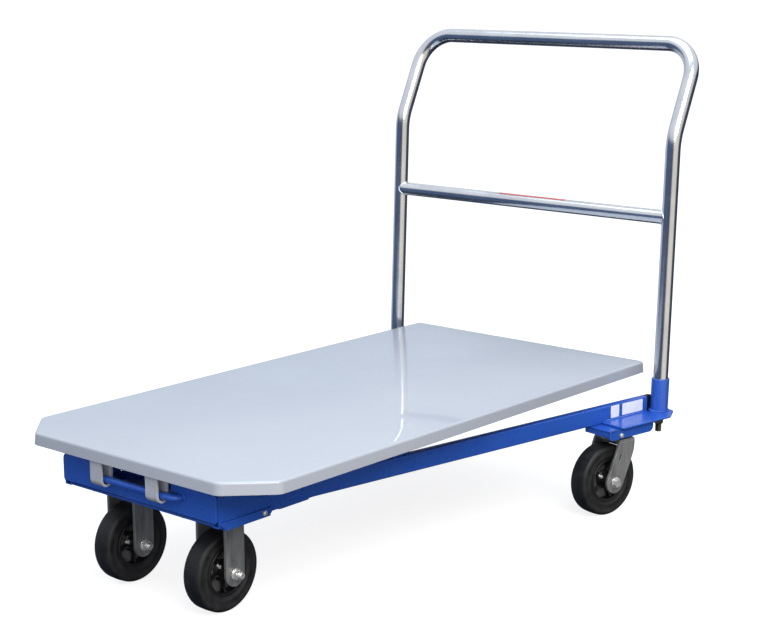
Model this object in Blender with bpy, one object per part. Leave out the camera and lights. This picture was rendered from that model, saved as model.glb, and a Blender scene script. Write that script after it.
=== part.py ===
"""Nestable platform trolley: a tilting deck on a wedge-shaped frame with four casters and a tube handle.

Metres, +Z up, floor at z = 0. The deck is hinged at the front (-Y); the push handle stands at the rear (+Y).
"""
import math

import bmesh
import bpy
from mathutils import Matrix, Vector

# ---- Driving dimensions -------------------------------------------------------------------------------
GAP = 0.0003  # clearance between pieces that touch

DECK_LENGTH = 1.2192
DECK_WIDTH = 0.632
DECK_TOP = 0.2915
DECK_SKIRT = 0.0235
DECK_SHEET = 0.0027
DECK_EDGE_RADIUS = 0.005
DECK_FRONT_RADIUS = 0.022
DECK_REAR_RADIUS = 0.010
DECK_FRONT_CHAMFER = 0.0765
DECK_CENTRE_Y = -0.0535
DECK_FRONT = DECK_CENTRE_Y - DECK_LENGTH / 2
DECK_UNDERSIDE = DECK_TOP - DECK_SHEET

STIFFENER_X = 0.165
STIFFENER_WIDTH = 0.060
STIFFENER_SHEET = 0.0025
STIFFENER_BOTTOM = 0.2505
STIFFENER_FRONT = DECK_FRONT + 0.045
STIFFENER_REAR = DECK_FRONT + DECK_LENGTH - 0.045

HOOK_X = 0.0733
HOOK_WIDTH = 0.0305
HOOK_INNER_RADIUS = 0.0092
HOOK_STRAP = 0.0048
HINGE_Y = DECK_FRONT + DECK_SHEET + GAP + HOOK_INNER_RADIUS + HOOK_STRAP
HINGE_Z = 0.2330
ROD_RADIUS = 0.00635
ROD_LEFT = -0.0975
ROD_RIGHT = 0.1185
ROD_BEND = 0.0135
HOOK_BACK_TOP = 0.262

FRONT_PLATE_Y = DECK_FRONT + 0.0344
FRONT_PLATE_THICKNESS = 0.005
FRONT_PLATE_HALF_WIDTH = 0.2020
FRONT_PLATE_BOTTOM = 0.2003
FRONT_PLATE_TOP = 0.2535
NOTCH_HALF_WIDTH = 0.090
NOTCH_BOTTOM = 0.2255

MOUNT_PLATE = 0.0045
MOUNT_TOP = 0.1905
MOUNT_BOTTOM = MOUNT_TOP - MOUNT_PLATE
RAIL_HEIGHT = 0.036
RAIL_WIDTH = 0.018
RAIL_WALL = 0.0025
RAIL_BOTTOM = MOUNT_TOP + GAP
RAIL_TOP = RAIL_BOTTOM + RAIL_HEIGHT
RAIL_FRONT_X = 0.2044
RAIL_SHOULDER_TOP = 0.2478
RAIL_SHOULDER_Y = (-0.5600, -0.5250)
RAIL_KINK_Y = -0.3855
RAIL_END_Y = 0.5115
RAIL_SPLAY = math.radians(9.34)

AXLE_PLATE_FRONT = -0.6111
AXLE_PLATE_REAR = -0.5010
AXLE_FLANGE = 0.004
AXLE_FLANGE_TOP = 0.2015
AXLE_LIP_HALF_WIDTH = 0.1830
AXLE_LIP_TOP = 0.1985
CROSS_PLATE_FRONT = -0.4685
CROSS_PLATE_REAR = -0.3865
CROSS_PLATE_HALF_WIDTH = 0.197

REST_BAR_Y = -0.1735
REST_BAR_LENGTH = 0.047
REST_BAR_HEIGHT = 0.018
REST_PAD_THICKNESS = 0.0048

WHEEL_RADIUS = 0.0762
TYRE_WIDTH = 0.042
TYRE_SHOULDER = 0.008
CORE_RADIUS = 0.046
HUB_LENGTH = 0.0628
HUB_BARREL_RADIUS = 0.018
SPOKES = 5
SPOKE_ANGLE = math.radians(18)
POCKET_INNER = 0.0225
POCKET_OUTER = 0.0390
POCKET_WEB = 0.0024
SLEEVE_RADIUS = 0.0103
AXLE_RADIUS = 0.00635
RUNNING_CLEARANCE = 0.00006
CASTER_HEIGHT = MOUNT_BOTTOM - GAP
CASTER_PLATE = 0.0035
CASTER_PLATE_LENGTH = 0.110
FRONT_PLATE_WIDTH = 0.100
SWIVEL_PLATE_HALF_WIDTH = 0.0335
FORK_HALF_WIDTH = 0.0385
FORK_LEG = 0.006
FRONT_LEG_WIDTH = 0.046
FRONT_WHEEL_X = 0.1200
FRONT_WHEEL_Y = -0.5412

KINGPIN_X = 0.3473
KINGPIN_Y = 0.4018
SWIVEL_TRAIL = 0.038
REAR_YAW = {"left": math.radians(-9.0), "right": math.radians(-12.5)}
CROWN_TOP = 0.1660
YOKE_FRONT = 0.0112
YOKE_REAR = 0.0150
YOKE_BOTTOM = 0.1385
CROWN_BOTTOM = 0.158
CROWN_RADIUS = 0.033
KINGPIN_RADIUS = 0.006
RACE_RADIUS = 0.027

TRAY_HALF_WIDTH = 0.0405
TRAY_HALF_LENGTH = 0.065
TRAY_SIDE_BOTTOM = 0.1695
TRAY_FRONT_BOTTOM = 0.1765
TRAY_SHEET = 0.004
TRAY_REAR_LENGTH = 0.070
TRAY_INNER_START = -0.025
TRAY_FRONT_REACH = 0.0300

FLANGE_BOLT_RADIUS = 0.003
FRONT_BOLT_Y = -0.517
FRONT_BOLT_Z = 0.1945
TRAY_BOLT_ALONG = -0.0302
TRAY_BOLT_Z = 0.1772

SOCKET_PLATE_WIDTH = 0.0616
SOCKET_PLATE_THICKNESS = 0.0047
SOCKET_PLATE_BOTTOM = MOUNT_TOP + GAP
SOCKET_PLATE_TOP = SOCKET_PLATE_BOTTOM + SOCKET_PLATE_THICKNESS
SOCKET_RADIUS = 0.01905
SOCKET_TOP = 0.266
HANDLE_RADIUS = 0.015875
HANDLE_WALL = 0.0021
HANDLE_X = 0.3686
HANDLE_FOOT_Y = 0.5365
HANDLE_LEAN = 0.0381
HANDLE_BEND_Z = 0.7767
HANDLE_TOP_Z = 0.9692
HANDLE_TOP_Y = 0.6471
HANDLE_BEND_RADIUS = 0.120
HANDLE_CORNER_RADIUS = 0.076
CROSSBAR_RADIUS = 0.0149
CROSSBAR_Z = 0.6115
HANDLE_BOLT_BOTTOM = 0.149

SIDES = {"left": -1, "right": 1}


# ---- Materials ----------------------------------------------------------------------------------------
def material(name, colour, roughness, metallic):
    made = bpy.data.materials.new(name)
    made.use_nodes = True
    shader = made.node_tree.nodes["Principled BSDF"]
    shader.inputs["Base Color"].default_value = (*colour, 1.0)
    shader.inputs["Roughness"].default_value = roughness
    shader.inputs["Metallic"].default_value = metallic
    return made


def make_materials():
    return {
        "deck_paint": material("deck_paint", (0.58, 0.63, 0.76), 0.18, 0.0),
        "hook_paint": material("hook_paint", (0.50, 0.52, 0.56), 0.35, 0.0),
        "blue_paint": material("blue_paint", (0.026, 0.085, 0.38), 0.32, 0.0),
        "handle_steel": material("handle_steel", (0.62, 0.63, 0.65), 0.16, 1.0),
        "fork_steel": material("fork_steel", (0.42, 0.41, 0.39), 0.40, 1.0),
        "zinc": material("zinc", (0.62, 0.62, 0.60), 0.30, 1.0),
        "tyre_rubber": material("tyre_rubber", (0.022, 0.022, 0.024), 0.60, 0.0),
        "core_iron": material("core_iron", (0.030, 0.030, 0.032), 0.50, 0.2),
        "black_rubber": material("black_rubber", (0.018, 0.018, 0.018), 0.55, 0.0),
    }


# ---- Objects ------------------------------------------------------------------------------------------
def clear_scene():
    for obj in list(bpy.data.objects):
        bpy.data.objects.remove(obj, do_unlink=True)


def link(obj, parent=None, location=(0.0, 0.0, 0.0), turn_z=0.0):
    bpy.context.scene.collection.objects.link(obj)
    obj.parent = parent
    obj.location = location
    obj.rotation_euler = (0.0, 0.0, turn_z)
    return obj


def axis_empty(name, location, turn_z=0.0, parent=None):
    empty = bpy.data.objects.new(name, None)
    empty.empty_display_size = 0.05
    return link(empty, parent, location, turn_z)


def add(name, bm, finish, parent=None, location=(0.0, 0.0, 0.0), turn_z=0.0, smooth=False):
    """Turns a bmesh into a named object with one material."""
    bmesh.ops.recalc_face_normals(bm, faces=bm.faces)
    mesh = bpy.data.meshes.new(name)
    bm.to_mesh(mesh)
    bm.free()
    if smooth:
        mesh.shade_smooth()
        mesh.set_sharp_from_angle(angle=math.radians(35))
    mesh.materials.append(finish)
    return link(bpy.data.objects.new(name, mesh), parent, location, turn_z)


def boolean(obj, name, bm, operation):
    """Cuts a helper shape from an object, or joins it on; the shape is in the object's own frame."""
    bmesh.ops.recalc_face_normals(bm, faces=bm.faces)
    mesh = bpy.data.meshes.new(name)
    bm.to_mesh(mesh)
    bm.free()
    helper = link(bpy.data.objects.new(name, mesh), obj.parent, obj.location, obj.rotation_euler.z)
    helper.hide_render = True
    helper.display_type = "WIRE"
    modifier = obj.modifiers.new(name, "BOOLEAN")
    modifier.operation = operation
    modifier.solver = "EXACT"
    modifier.object = helper
    return obj


# ---- Shape builders -----------------------------------------------------------------------------------
def rounded(corners, radii, steps=4):
    """A closed outline through the corners, each replaced by an arc of its radius."""
    points = []
    count = len(corners)
    for k, corner in enumerate(corners):
        here = Vector(corner)
        radius = radii[k] if isinstance(radii, (list, tuple)) else radii
        if radius <= 0:
            points.append(here)
            continue
        back = (Vector(corners[k - 1]) - here).normalized()
        ahead = (Vector(corners[(k + 1) % count]) - here).normalized()
        half = back.angle(ahead) / 2
        reach = radius / math.tan(half)
        centre = here + (back + ahead).normalized() * radius / math.sin(half)
        start = here + back * reach - centre
        end = here + ahead * reach - centre
        turn = start.angle(end)
        for i in range(steps + 1):
            share = i / steps
            weight_a = math.sin((1 - share) * turn) / math.sin(turn)
            weight_b = math.sin(share * turn) / math.sin(turn)
            points.append(centre + start * weight_a + end * weight_b)
    return points


def bent_path(corners, radii, steps=6):
    """An open 3-D path through the corners, each inner one replaced by an arc of its radius."""
    points = [Vector(corners[0])]
    for k in range(1, len(corners) - 1):
        here = Vector(corners[k])
        back = (Vector(corners[k - 1]) - here).normalized()
        ahead = (Vector(corners[k + 1]) - here).normalized()
        half = back.angle(ahead) / 2
        radius = radii[k - 1]
        reach = radius / math.tan(half)
        centre = here + (back + ahead).normalized() * radius / math.sin(half)
        start = here + back * reach - centre
        end = here + ahead * reach - centre
        turn = start.angle(end)
        for i in range(steps + 1):
            share = i / steps
            weight_a = math.sin((1 - share) * turn) / math.sin(turn)
            weight_b = math.sin(share * turn) / math.sin(turn)
            points.append(centre + start * weight_a + end * weight_b)
    points.append(Vector(corners[-1]))
    return points


def skin(bm, rings, closed=False):
    """Joins rings of equal length with quads; closed also joins the last ring to the first."""
    rows = [[bm.verts.new(point) for point in ring] for ring in rings]
    pairs = list(zip(rows, rows[1:]))
    if closed:
        pairs.append((rows[-1], rows[0]))
    count = len(rows[0])
    for near, far in pairs:
        for i in range(count):
            j = (i + 1) % count
            bm.faces.new((near[i], near[j], far[j], far[i]))
    return rows


def prism(outline, low, high, axis="Z"):
    """A solid between two copies of a 2-D outline, low and high along the axis."""
    def lift(point, height):
        if axis == "X":
            return (height, point[0], point[1])
        return (point[0], point[1], height)

    bm = bmesh.new()
    rows = skin(bm, [[lift(p, low) for p in outline], [lift(p, high) for p in outline]])
    bm.faces.new(rows[0])
    bm.faces.new(rows[1])
    return bm


def box(low, high):
    corners = [(low[0], low[1]), (high[0], low[1]), (high[0], high[1]), (low[0], high[1])]
    return prism(corners, low[2], high[2])


def turned(profile, sides, axis="X"):
    """A ring turned about the X or Z axis from a closed profile of (radius, height) points."""
    rings = []
    for i in range(sides):
        angle = 2 * math.pi * i / sides
        ring = []
        for radius, height in profile:
            across = (radius * math.cos(angle), radius * math.sin(angle))
            ring.append((height, *across) if axis == "X" else (*across, height))
        rings.append(ring)
    bm = bmesh.new()
    skin(bm, rings, closed=True)
    return bm


def turned_solid(profile, sides, axis="X", flat_sides=None):
    """A shaft turned from (radius, height) points in order of height; flat_sides marks hexagonal steps."""
    flat_sides = flat_sides or {}
    rings = []
    for k, (radius, height) in enumerate(profile):
        ring = []
        for i in range(sides):
            angle = 2 * math.pi * i / sides
            reach = radius
            if k in flat_sides:
                sector = math.pi / 3
                reach = radius * math.cos(sector / 2) / math.cos((angle % sector) - sector / 2)
            across = (reach * math.cos(angle), reach * math.sin(angle))
            ring.append((height, *across) if axis == "X" else (*across, height))
        rings.append(ring)
    bm = bmesh.new()
    rows = skin(bm, rings)
    bm.faces.new(rows[0])
    bm.faces.new(rows[-1])
    return bm


def frames_along(path):
    """A pair of unit vectors square to the path at each of its points, turning as little as they can."""
    tangents = []
    for k in range(len(path)):
        before = path[max(k - 1, 0)]
        after = path[min(k + 1, len(path) - 1)]
        tangents.append((after - before).normalized())
    side = tangents[0].orthogonal().normalized()
    frames = []
    for tangent in tangents:
        side = (side - tangent * side.dot(tangent)).normalized()
        frames.append((side, tangent.cross(side)))
    return frames


def tube(path, outer, inner, sides):
    """A round tube or, with no inner radius, a round bar along a path."""
    frames = frames_along(path)

    def rings(radius):
        made = []
        for centre, (side, other) in zip(path, frames):
            angles = [2 * math.pi * i / sides for i in range(sides)]
            made.append([centre + (side * math.cos(a) + other * math.sin(a)) * radius for a in angles])
        return made

    bm = bmesh.new()
    if inner:
        skin(bm, rings(outer) + rings(inner)[::-1], closed=True)
    else:
        rows = skin(bm, rings(outer))
        bm.faces.new(rows[0])
        bm.faces.new(rows[-1])
    return bm


def mirrored(points, side):
    """The same 2-D or 3-D points on the given side of the trolley, -1 left or +1 right."""
    return [(side * p[0], *tuple(p)[1:]) for p in points]


# ---- Deck ---------------------------------------------------------------------------------------------
def deck_outline(inset):
    """The deck's plan with rounded corners, drawn in by an inset that every edge shares."""
    half = DECK_WIDTH / 2
    rear = DECK_FRONT + DECK_LENGTH
    cut = DECK_FRONT_CHAMFER
    corners = [
        (-half + cut, DECK_FRONT), (half - cut, DECK_FRONT), (half, DECK_FRONT + cut),
        (half, rear), (-half, rear), (-half, DECK_FRONT + cut),
    ]
    front, back_end = DECK_FRONT_RADIUS, DECK_REAR_RADIUS
    radii = [front, front, front, back_end, back_end, front]
    points = []
    for k, (corner, radius) in enumerate(zip(corners, radii)):
        here = Vector(corner)
        back = (Vector(corners[k - 1]) - here).normalized()
        ahead = (Vector(corners[(k + 1) % len(corners)]) - here).normalized()
        half_angle = back.angle(ahead) / 2
        centre = here + (back + ahead).normalized() * radius / math.sin(half_angle)
        out_back = Vector((-back.y, back.x))
        out_ahead = Vector((ahead.y, -ahead.x))
        turn = out_back.angle(out_ahead)
        for i in range(4):
            share = i / 3
            weight_a = math.sin((1 - share) * turn) / math.sin(turn)
            weight_b = math.sin(share * turn) / math.sin(turn)
            outward = out_back * weight_a + out_ahead * weight_b
            points.append(centre + outward * (radius - inset))
    return points


def deck_pan():
    """A pressed sheet pan: flat top, rolled edge and a skirt, open underneath."""
    steps = 3
    bottom = DECK_TOP - DECK_SKIRT
    rings = []

    def ring(inset, height):
        rings.append([(p.x, p.y, height) for p in deck_outline(inset)])

    ring(0.0, bottom)
    for i in range(steps + 1):
        angle = math.pi / 2 * i / steps
        ring(DECK_EDGE_RADIUS * (1 - math.cos(angle)),
             DECK_TOP - DECK_EDGE_RADIUS * (1 - math.sin(angle)))
    top = len(rings) - 1
    inner_radius = DECK_EDGE_RADIUS - DECK_SHEET
    for i in range(steps, -1, -1):
        angle = math.pi / 2 * i / steps
        ring(DECK_SHEET + inner_radius * (1 - math.cos(angle)),
             DECK_UNDERSIDE - inner_radius * (1 - math.sin(angle)))
    ring(DECK_SHEET, bottom)
    bm = bmesh.new()
    rows = [[bm.verts.new(point) for point in points] for points in rings]
    count = len(rows[0])
    for k in range(len(rows)):
        near, far = rows[k], rows[(k + 1) % len(rows)]
        if k == top:
            continue
        for i in range(count):
            j = (i + 1) % count
            bm.faces.new((near[i], near[j], far[j], far[i]))
    bm.faces.new(rows[top])
    bm.faces.new(rows[top + 1])
    return bm


def stiffener():
    """A channel along the deck's underside, open towards the sheet."""
    half = STIFFENER_WIDTH / 2
    top = DECK_UNDERSIDE - GAP
    wall = STIFFENER_SHEET
    section = [
        (-half, top), (-half, STIFFENER_BOTTOM), (half, STIFFENER_BOTTOM), (half, top),
        (half - wall, top), (half - wall, STIFFENER_BOTTOM + wall),
        (-half + wall, STIFFENER_BOTTOM + wall), (-half + wall, top),
    ]
    bm = bmesh.new()
    ends = [[(x, y, z) for x, z in section] for y in (STIFFENER_FRONT, STIFFENER_REAR)]
    rows = skin(bm, ends)
    bm.faces.new(rows[0])
    bm.faces.new(rows[1])
    return bm


def hook():
    """A flat strap that runs down behind the front skirt, round under the hinge rod and up again.

    Its origin is the middle of the hinge rod's axis at this hook.
    """
    top = DECK_TOP - DECK_EDGE_RADIUS - GAP - HINGE_Z
    back_top = HOOK_BACK_TOP - HINGE_Z
    outer = HOOK_INNER_RADIUS + HOOK_STRAP
    steps = 10
    outside = [(-outer, top)]
    inside = [(-HOOK_INNER_RADIUS, top)]
    for i in range(steps + 1):
        angle = math.pi + math.pi * i / steps
        outside.append((outer * math.cos(angle), outer * math.sin(angle)))
        inside.append((HOOK_INNER_RADIUS * math.cos(angle), HOOK_INNER_RADIUS * math.sin(angle)))
    outside.append((outer, back_top))
    inside.append((HOOK_INNER_RADIUS, back_top))
    return prism(outside + inside[::-1], -HOOK_WIDTH / 2, HOOK_WIDTH / 2, axis="X")


def make_deck(finish):
    hinge = axis_empty("deck_hinge_axis", (0.0, HINGE_Y, HINGE_Z))
    to_hinge = (0.0, -HINGE_Y, -HINGE_Z)
    add("deck_pan", deck_pan(), finish["deck_paint"], hinge, to_hinge, smooth=True)
    for side, sign in SIDES.items():
        place = (sign * STIFFENER_X, -HINGE_Y, -HINGE_Z)
        add(f"deck_stiffener_{side}", stiffener(), finish["deck_paint"], hinge, place)
        add(f"hinge_hook_{side}", hook(), finish["hook_paint"], hinge, (sign * HOOK_X, 0.0, 0.0),
            smooth=True)


# ---- Frame --------------------------------------------------------------------------------------------
def front_plate():
    """The upright cross plate, notched between the hooks."""
    half = FRONT_PLATE_HALF_WIDTH
    low, high = FRONT_PLATE_BOTTOM, FRONT_PLATE_TOP
    corners = [
        (-half, low), (half, low), (half, high), (NOTCH_HALF_WIDTH, high), (NOTCH_HALF_WIDTH, NOTCH_BOTTOM),
        (-NOTCH_HALF_WIDTH, NOTCH_BOTTOM), (-NOTCH_HALF_WIDTH, high), (-half, high),
    ]
    outline = rounded(corners, [0.007, 0.007, 0.007, 0.002, 0.004, 0.004, 0.002, 0.007], 3)
    bm = bmesh.new()
    ends = [FRONT_PLATE_Y, FRONT_PLATE_Y + FRONT_PLATE_THICKNESS]
    rows = skin(bm, [[(p.x, y, p.y) for p in outline] for y in ends])
    bm.faces.new(rows[0])
    bm.faces.new(rows[1])
    return bm


def hinge_rod():
    """A round bar whose ends turn back to the front plate."""
    weld_y = FRONT_PLATE_Y - GAP
    corners = [(ROD_LEFT, weld_y, HINGE_Z), (ROD_LEFT, HINGE_Y, HINGE_Z),
               (ROD_RIGHT, HINGE_Y, HINGE_Z), (ROD_RIGHT, weld_y, HINGE_Z)]
    return tube(bent_path(corners, [ROD_BEND, ROD_BEND], 5), ROD_RADIUS, None, 16)


def rail_point(y, offset, sign):
    """A plan point at a distance outboard of the rail's outer face, square to the splayed rail at y."""
    face_x = RAIL_FRONT_X + (y - RAIL_KINK_Y) * math.tan(RAIL_SPLAY)
    normal = Vector((math.cos(RAIL_SPLAY), -math.sin(RAIL_SPLAY)))
    point = Vector((face_x, y)) + normal * offset
    return (sign * point.x, point.y)


def rail(sign):
    """A rectangular tube, deeper behind the front plate and splayed from the kink to its rear end."""
    start_y = FRONT_PLATE_Y + FRONT_PLATE_THICKNESS + GAP
    kink_spread = math.tan(RAIL_SPLAY / 2)
    shoulder, slope_end = RAIL_SHOULDER_Y

    def stations(inset):
        rings = []
        near, far = -inset, -(RAIL_WIDTH - inset)
        low = RAIL_BOTTOM + inset
        for place, top in ((start_y, RAIL_SHOULDER_TOP), (shoulder, RAIL_SHOULDER_TOP), (slope_end, RAIL_TOP),
                           ("kink", RAIL_TOP), ("end", RAIL_TOP)):
            high = top - inset
            ring = []
            for offset, height in ((near, low), (near, high), (far, high), (far, low)):
                if place == "kink":
                    x, y = RAIL_FRONT_X + offset, RAIL_KINK_Y - offset * kink_spread
                elif place == "end":
                    x, y = rail_point(RAIL_END_Y, offset, 1)
                else:
                    x, y = RAIL_FRONT_X + offset, place
                ring.append((sign * x, y, height))
            rings.append(ring)
        return rings

    bm = bmesh.new()
    skin(bm, stations(0.0) + stations(RAIL_WALL)[::-1], closed=True)
    return bm


def axle_plate():
    """The plate that carries both front casters, with an upturned flange bolted to each rail."""
    reach = RAIL_FRONT_X + GAP + AXLE_FLANGE
    return box((-reach, AXLE_PLATE_FRONT, MOUNT_BOTTOM), (reach, AXLE_PLATE_REAR, MOUNT_TOP))


def axle_flange(sign):
    """One upturned flange: a plate with its lower corners cut."""
    inner = RAIL_FRONT_X + GAP
    overlap = 0.0001
    corners = [
        (AXLE_PLATE_FRONT, MOUNT_BOTTOM + overlap), (AXLE_PLATE_REAR - 0.004, MOUNT_BOTTOM + overlap),
        (AXLE_PLATE_REAR + 0.0035, MOUNT_BOTTOM + 0.007), (AXLE_PLATE_REAR + 0.0045, AXLE_FLANGE_TOP),
        (AXLE_PLATE_FRONT - 0.0110, AXLE_FLANGE_TOP), (AXLE_PLATE_FRONT - 0.0105, MOUNT_BOTTOM + 0.011),
    ]
    low, high = sorted((sign * inner, sign * (inner + AXLE_FLANGE - overlap)))
    return prism(corners, low, high, axis="X")


def axle_lip():
    """The stiffening lip folded up along the plate's rear edge, between the rails."""
    overlap = 0.0002
    return box((-AXLE_LIP_HALF_WIDTH, AXLE_PLATE_REAR - 0.0035, MOUNT_BOTTOM + overlap),
               (AXLE_LIP_HALF_WIDTH, AXLE_PLATE_REAR + 0.0008, AXLE_LIP_TOP))


def rest_bar_half(offset):
    """Half of the rest bar's length along X, kept inside the rails' outer faces."""
    return rail_point(REST_BAR_Y, 0.0, 1)[0] - offset


def make_frame(finish):
    blue = finish["blue_paint"]
    add("front_plate", front_plate(), blue)
    add("hinge_rod", hinge_rod(), blue, location=(0.0, 0.0, 0.0), smooth=True)
    plate = add("front_axle_plate", axle_plate(), blue)
    boolean(plate, "axle_lip_helper", axle_lip(), "UNION")
    for side, sign in SIDES.items():
        boolean(plate, f"axle_flange_{side}_helper", axle_flange(sign), "UNION")
        add(f"rail_{side}", rail(sign), blue)
        bumper_outline = mirrored([rail_point(RAIL_END_Y + along, offset, 1) for along, offset in (
            (GAP, -0.0065), (0.0225, -0.0085), (0.0225, -0.0175), (GAP, -0.0175))], sign)
        add(f"rail_bumper_{side}", prism(bumper_outline, RAIL_BOTTOM, RAIL_TOP), finish["black_rubber"])
    half = CROSS_PLATE_HALF_WIDTH
    outline = rounded([(-half, CROSS_PLATE_FRONT), (half, CROSS_PLATE_FRONT),
                       (half, CROSS_PLATE_REAR), (-half, CROSS_PLATE_REAR)], 0.006, 3)
    add("kink_cross_plate", prism(outline, MOUNT_BOTTOM, MOUNT_TOP), blue)
    half = rest_bar_half(0.004)
    low = RAIL_TOP + GAP
    front, rear = REST_BAR_Y - REST_BAR_LENGTH / 2, REST_BAR_Y + REST_BAR_LENGTH / 2
    add("deck_rest_bar", box((-half, front, low), (half, rear, low + REST_BAR_HEIGHT)), blue)
    pad_low = low + REST_BAR_HEIGHT + GAP
    pad_half = STIFFENER_X + STIFFENER_WIDTH / 2
    add("deck_rest_pad", box((-pad_half, front + 0.005, pad_low),
                             (pad_half, rear - 0.005, pad_low + REST_PAD_THICKNESS)),
        finish["black_rubber"])


# ---- Rear corners -------------------------------------------------------------------------------------
def caster_tray(sign):
    """A plate folded down at the outer, inner and front edges, over one rear caster.

    Its origin is the kingpin's axis and its Y runs along the splayed rail; outboard is the side's sign.
    """
    half, front, rear = TRAY_HALF_WIDTH, -TRAY_HALF_LENGTH, TRAY_REAR_LENGTH
    plan = [(half, front), (half, rear), (-half, rear), (-half, TRAY_INNER_START), (-TRAY_FRONT_REACH, front)]
    return prism(mirrored(plan, sign), MOUNT_BOTTOM, MOUNT_TOP)


def tray_side_flange(sign):
    """The deep outer flange, rounded at its lower corners."""
    half, front, rear = TRAY_HALF_WIDTH, -TRAY_HALF_LENGTH, TRAY_REAR_LENGTH
    top = MOUNT_TOP - 0.0001
    outline = rounded([(front, TRAY_SIDE_BOTTOM), (rear, TRAY_SIDE_BOTTOM), (rear, top), (front, top)],
                      [0.008, 0.012, 0.0, 0.0], 4)
    low, high = sorted((sign * half, sign * (half - TRAY_SHEET)))
    return prism(outline, low, high, axis="X")


def socket_plate_outline():
    """Plan of the right socket plate, from the rail's face out round the handle socket."""
    front = 0.372
    rear = 0.5570
    corners = [
        rail_point(front, GAP, 1), rail_point(front, SOCKET_PLATE_WIDTH, 1),
        rail_point(0.5180, SOCKET_PLATE_WIDTH, 1), (0.3920, rear - 0.0010), (0.3400, rear - 0.0010),
        (0.3390, RAIL_END_Y + 0.0262), rail_point(RAIL_END_Y + 0.0262, GAP, 1),
    ]
    return rounded(corners, [0.0, 0.008, 0.012, 0.012, 0.006, 0.0, 0.0], 4)


def leg_y(z):
    """Where the handle's leaning leg is at a height."""
    return HANDLE_FOOT_Y + HANDLE_LEAN * (z - SOCKET_TOP)


def leaning_tube(sign, low, high, outer, inner, sides):
    """A round tube round the handle leg's line, cut level at both ends."""
    rings = []
    for radius, height in ((outer, low), (outer, high), (inner, high), (inner, low)):
        centre = Vector((sign * HANDLE_X, leg_y(height), height))
        angles = [2 * math.pi * i / sides for i in range(sides)]
        rings.append([centre + Vector((math.cos(a), math.sin(a), 0.0)) * radius for a in angles])
    bm = bmesh.new()
    skin(bm, rings, closed=True)
    return bm


def make_rear_corners(finish):
    blue = finish["blue_paint"]
    for side, sign in SIDES.items():
        turn = -sign * RAIL_SPLAY
        place = (sign * KINGPIN_X, KINGPIN_Y, 0.0)
        tray = add(f"rear_caster_tray_{side}", caster_tray(sign), blue, None, place, turn)
        boolean(tray, f"tray_side_{side}_helper", tray_side_flange(sign), "UNION")
        half, length = TRAY_HALF_WIDTH, TRAY_HALF_LENGTH
        inner_low, inner_high = sorted((-sign * half, -sign * (half - TRAY_SHEET)))
        inner = box((inner_low, TRAY_INNER_START, TRAY_FRONT_BOTTOM),
                    (inner_high, TRAY_REAR_LENGTH, MOUNT_TOP - 0.0001))
        boolean(tray, f"tray_inner_{side}_helper", inner, "UNION")
        front_low, front_high = sorted((-sign * TRAY_FRONT_REACH, sign * (half - 0.0001)))
        front = box((front_low, -length, TRAY_FRONT_BOTTOM + 0.0001),
                    (front_high, -length + TRAY_SHEET, MOUNT_TOP - 0.0002))
        boolean(tray, f"tray_front_{side}_helper", front, "UNION")
        outline = mirrored(socket_plate_outline(), sign)
        plate = add(f"socket_plate_{side}", prism(outline, SOCKET_PLATE_BOTTOM, SOCKET_PLATE_TOP), blue)
        hole_y = leg_y(SOCKET_PLATE_TOP)
        hole = turned_solid([(0.0068, SOCKET_PLATE_BOTTOM - 0.002), (0.0068, SOCKET_PLATE_TOP + 0.002)],
                            20, "Z")
        bmesh.ops.translate(hole, verts=hole.verts, vec=(sign * HANDLE_X, hole_y, 0.0))
        boolean(plate, f"bolt_hole_{side}_helper", hole, "DIFFERENCE")
        add(f"handle_socket_{side}", leaning_tube(sign, SOCKET_PLATE_TOP + GAP, SOCKET_TOP, SOCKET_RADIUS,
                                                  HANDLE_RADIUS + GAP, 24), blue, smooth=True)


# ---- Handle -------------------------------------------------------------------------------------------
def handle_path():
    foot_z = SOCKET_PLATE_TOP + 0.004
    half = [(HANDLE_X, leg_y(foot_z), foot_z), (HANDLE_X, leg_y(HANDLE_BEND_Z), HANDLE_BEND_Z),
            (HANDLE_X, HANDLE_TOP_Y, HANDLE_TOP_Z)]
    corners = mirrored(half, -1) + half[::-1]
    radii = [HANDLE_BEND_RADIUS, HANDLE_CORNER_RADIUS, HANDLE_CORNER_RADIUS, HANDLE_BEND_RADIUS]
    return bent_path(corners, radii, 6)


def crossbar():
    """A tube between the legs, its ends coped to their round sides."""
    sides = 20
    centre_y = leg_y(CROSSBAR_Z)

    def ring(radius, sign):
        points = []
        for i in range(sides):
            angle = 2 * math.pi * i / sides
            dy, dz = radius * math.cos(angle), radius * math.sin(angle)
            leg_dy = dy - HANDLE_LEAN * dz
            reach = HANDLE_X - math.sqrt((HANDLE_RADIUS + GAP) ** 2 - leg_dy ** 2)
            points.append((sign * reach, centre_y + dy, CROSSBAR_Z + dz))
        return points

    inner = CROSSBAR_RADIUS - HANDLE_WALL
    bm = bmesh.new()
    skin(bm, [ring(CROSSBAR_RADIUS, -1), ring(CROSSBAR_RADIUS, 1), ring(inner, 1), ring(inner, -1)],
         closed=True)
    return bm


def handle_bolt():
    """The bolt that draws a leg down into its socket, with its hexagon collar; origin on its axis."""
    collar_top = SOCKET_PLATE_BOTTOM - GAP
    profile = [
        (0.0062, HANDLE_BOLT_BOTTOM), (0.0068, HANDLE_BOLT_BOTTOM + 0.001), (0.0068, 0.1660),
        (0.0100, 0.1662), (0.0100, collar_top), (0.0064, collar_top + 0.0001), (0.0064, 0.235),
    ]
    return turned_solid(profile, 24, "Z", flat_sides={3: True, 4: True})


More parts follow.
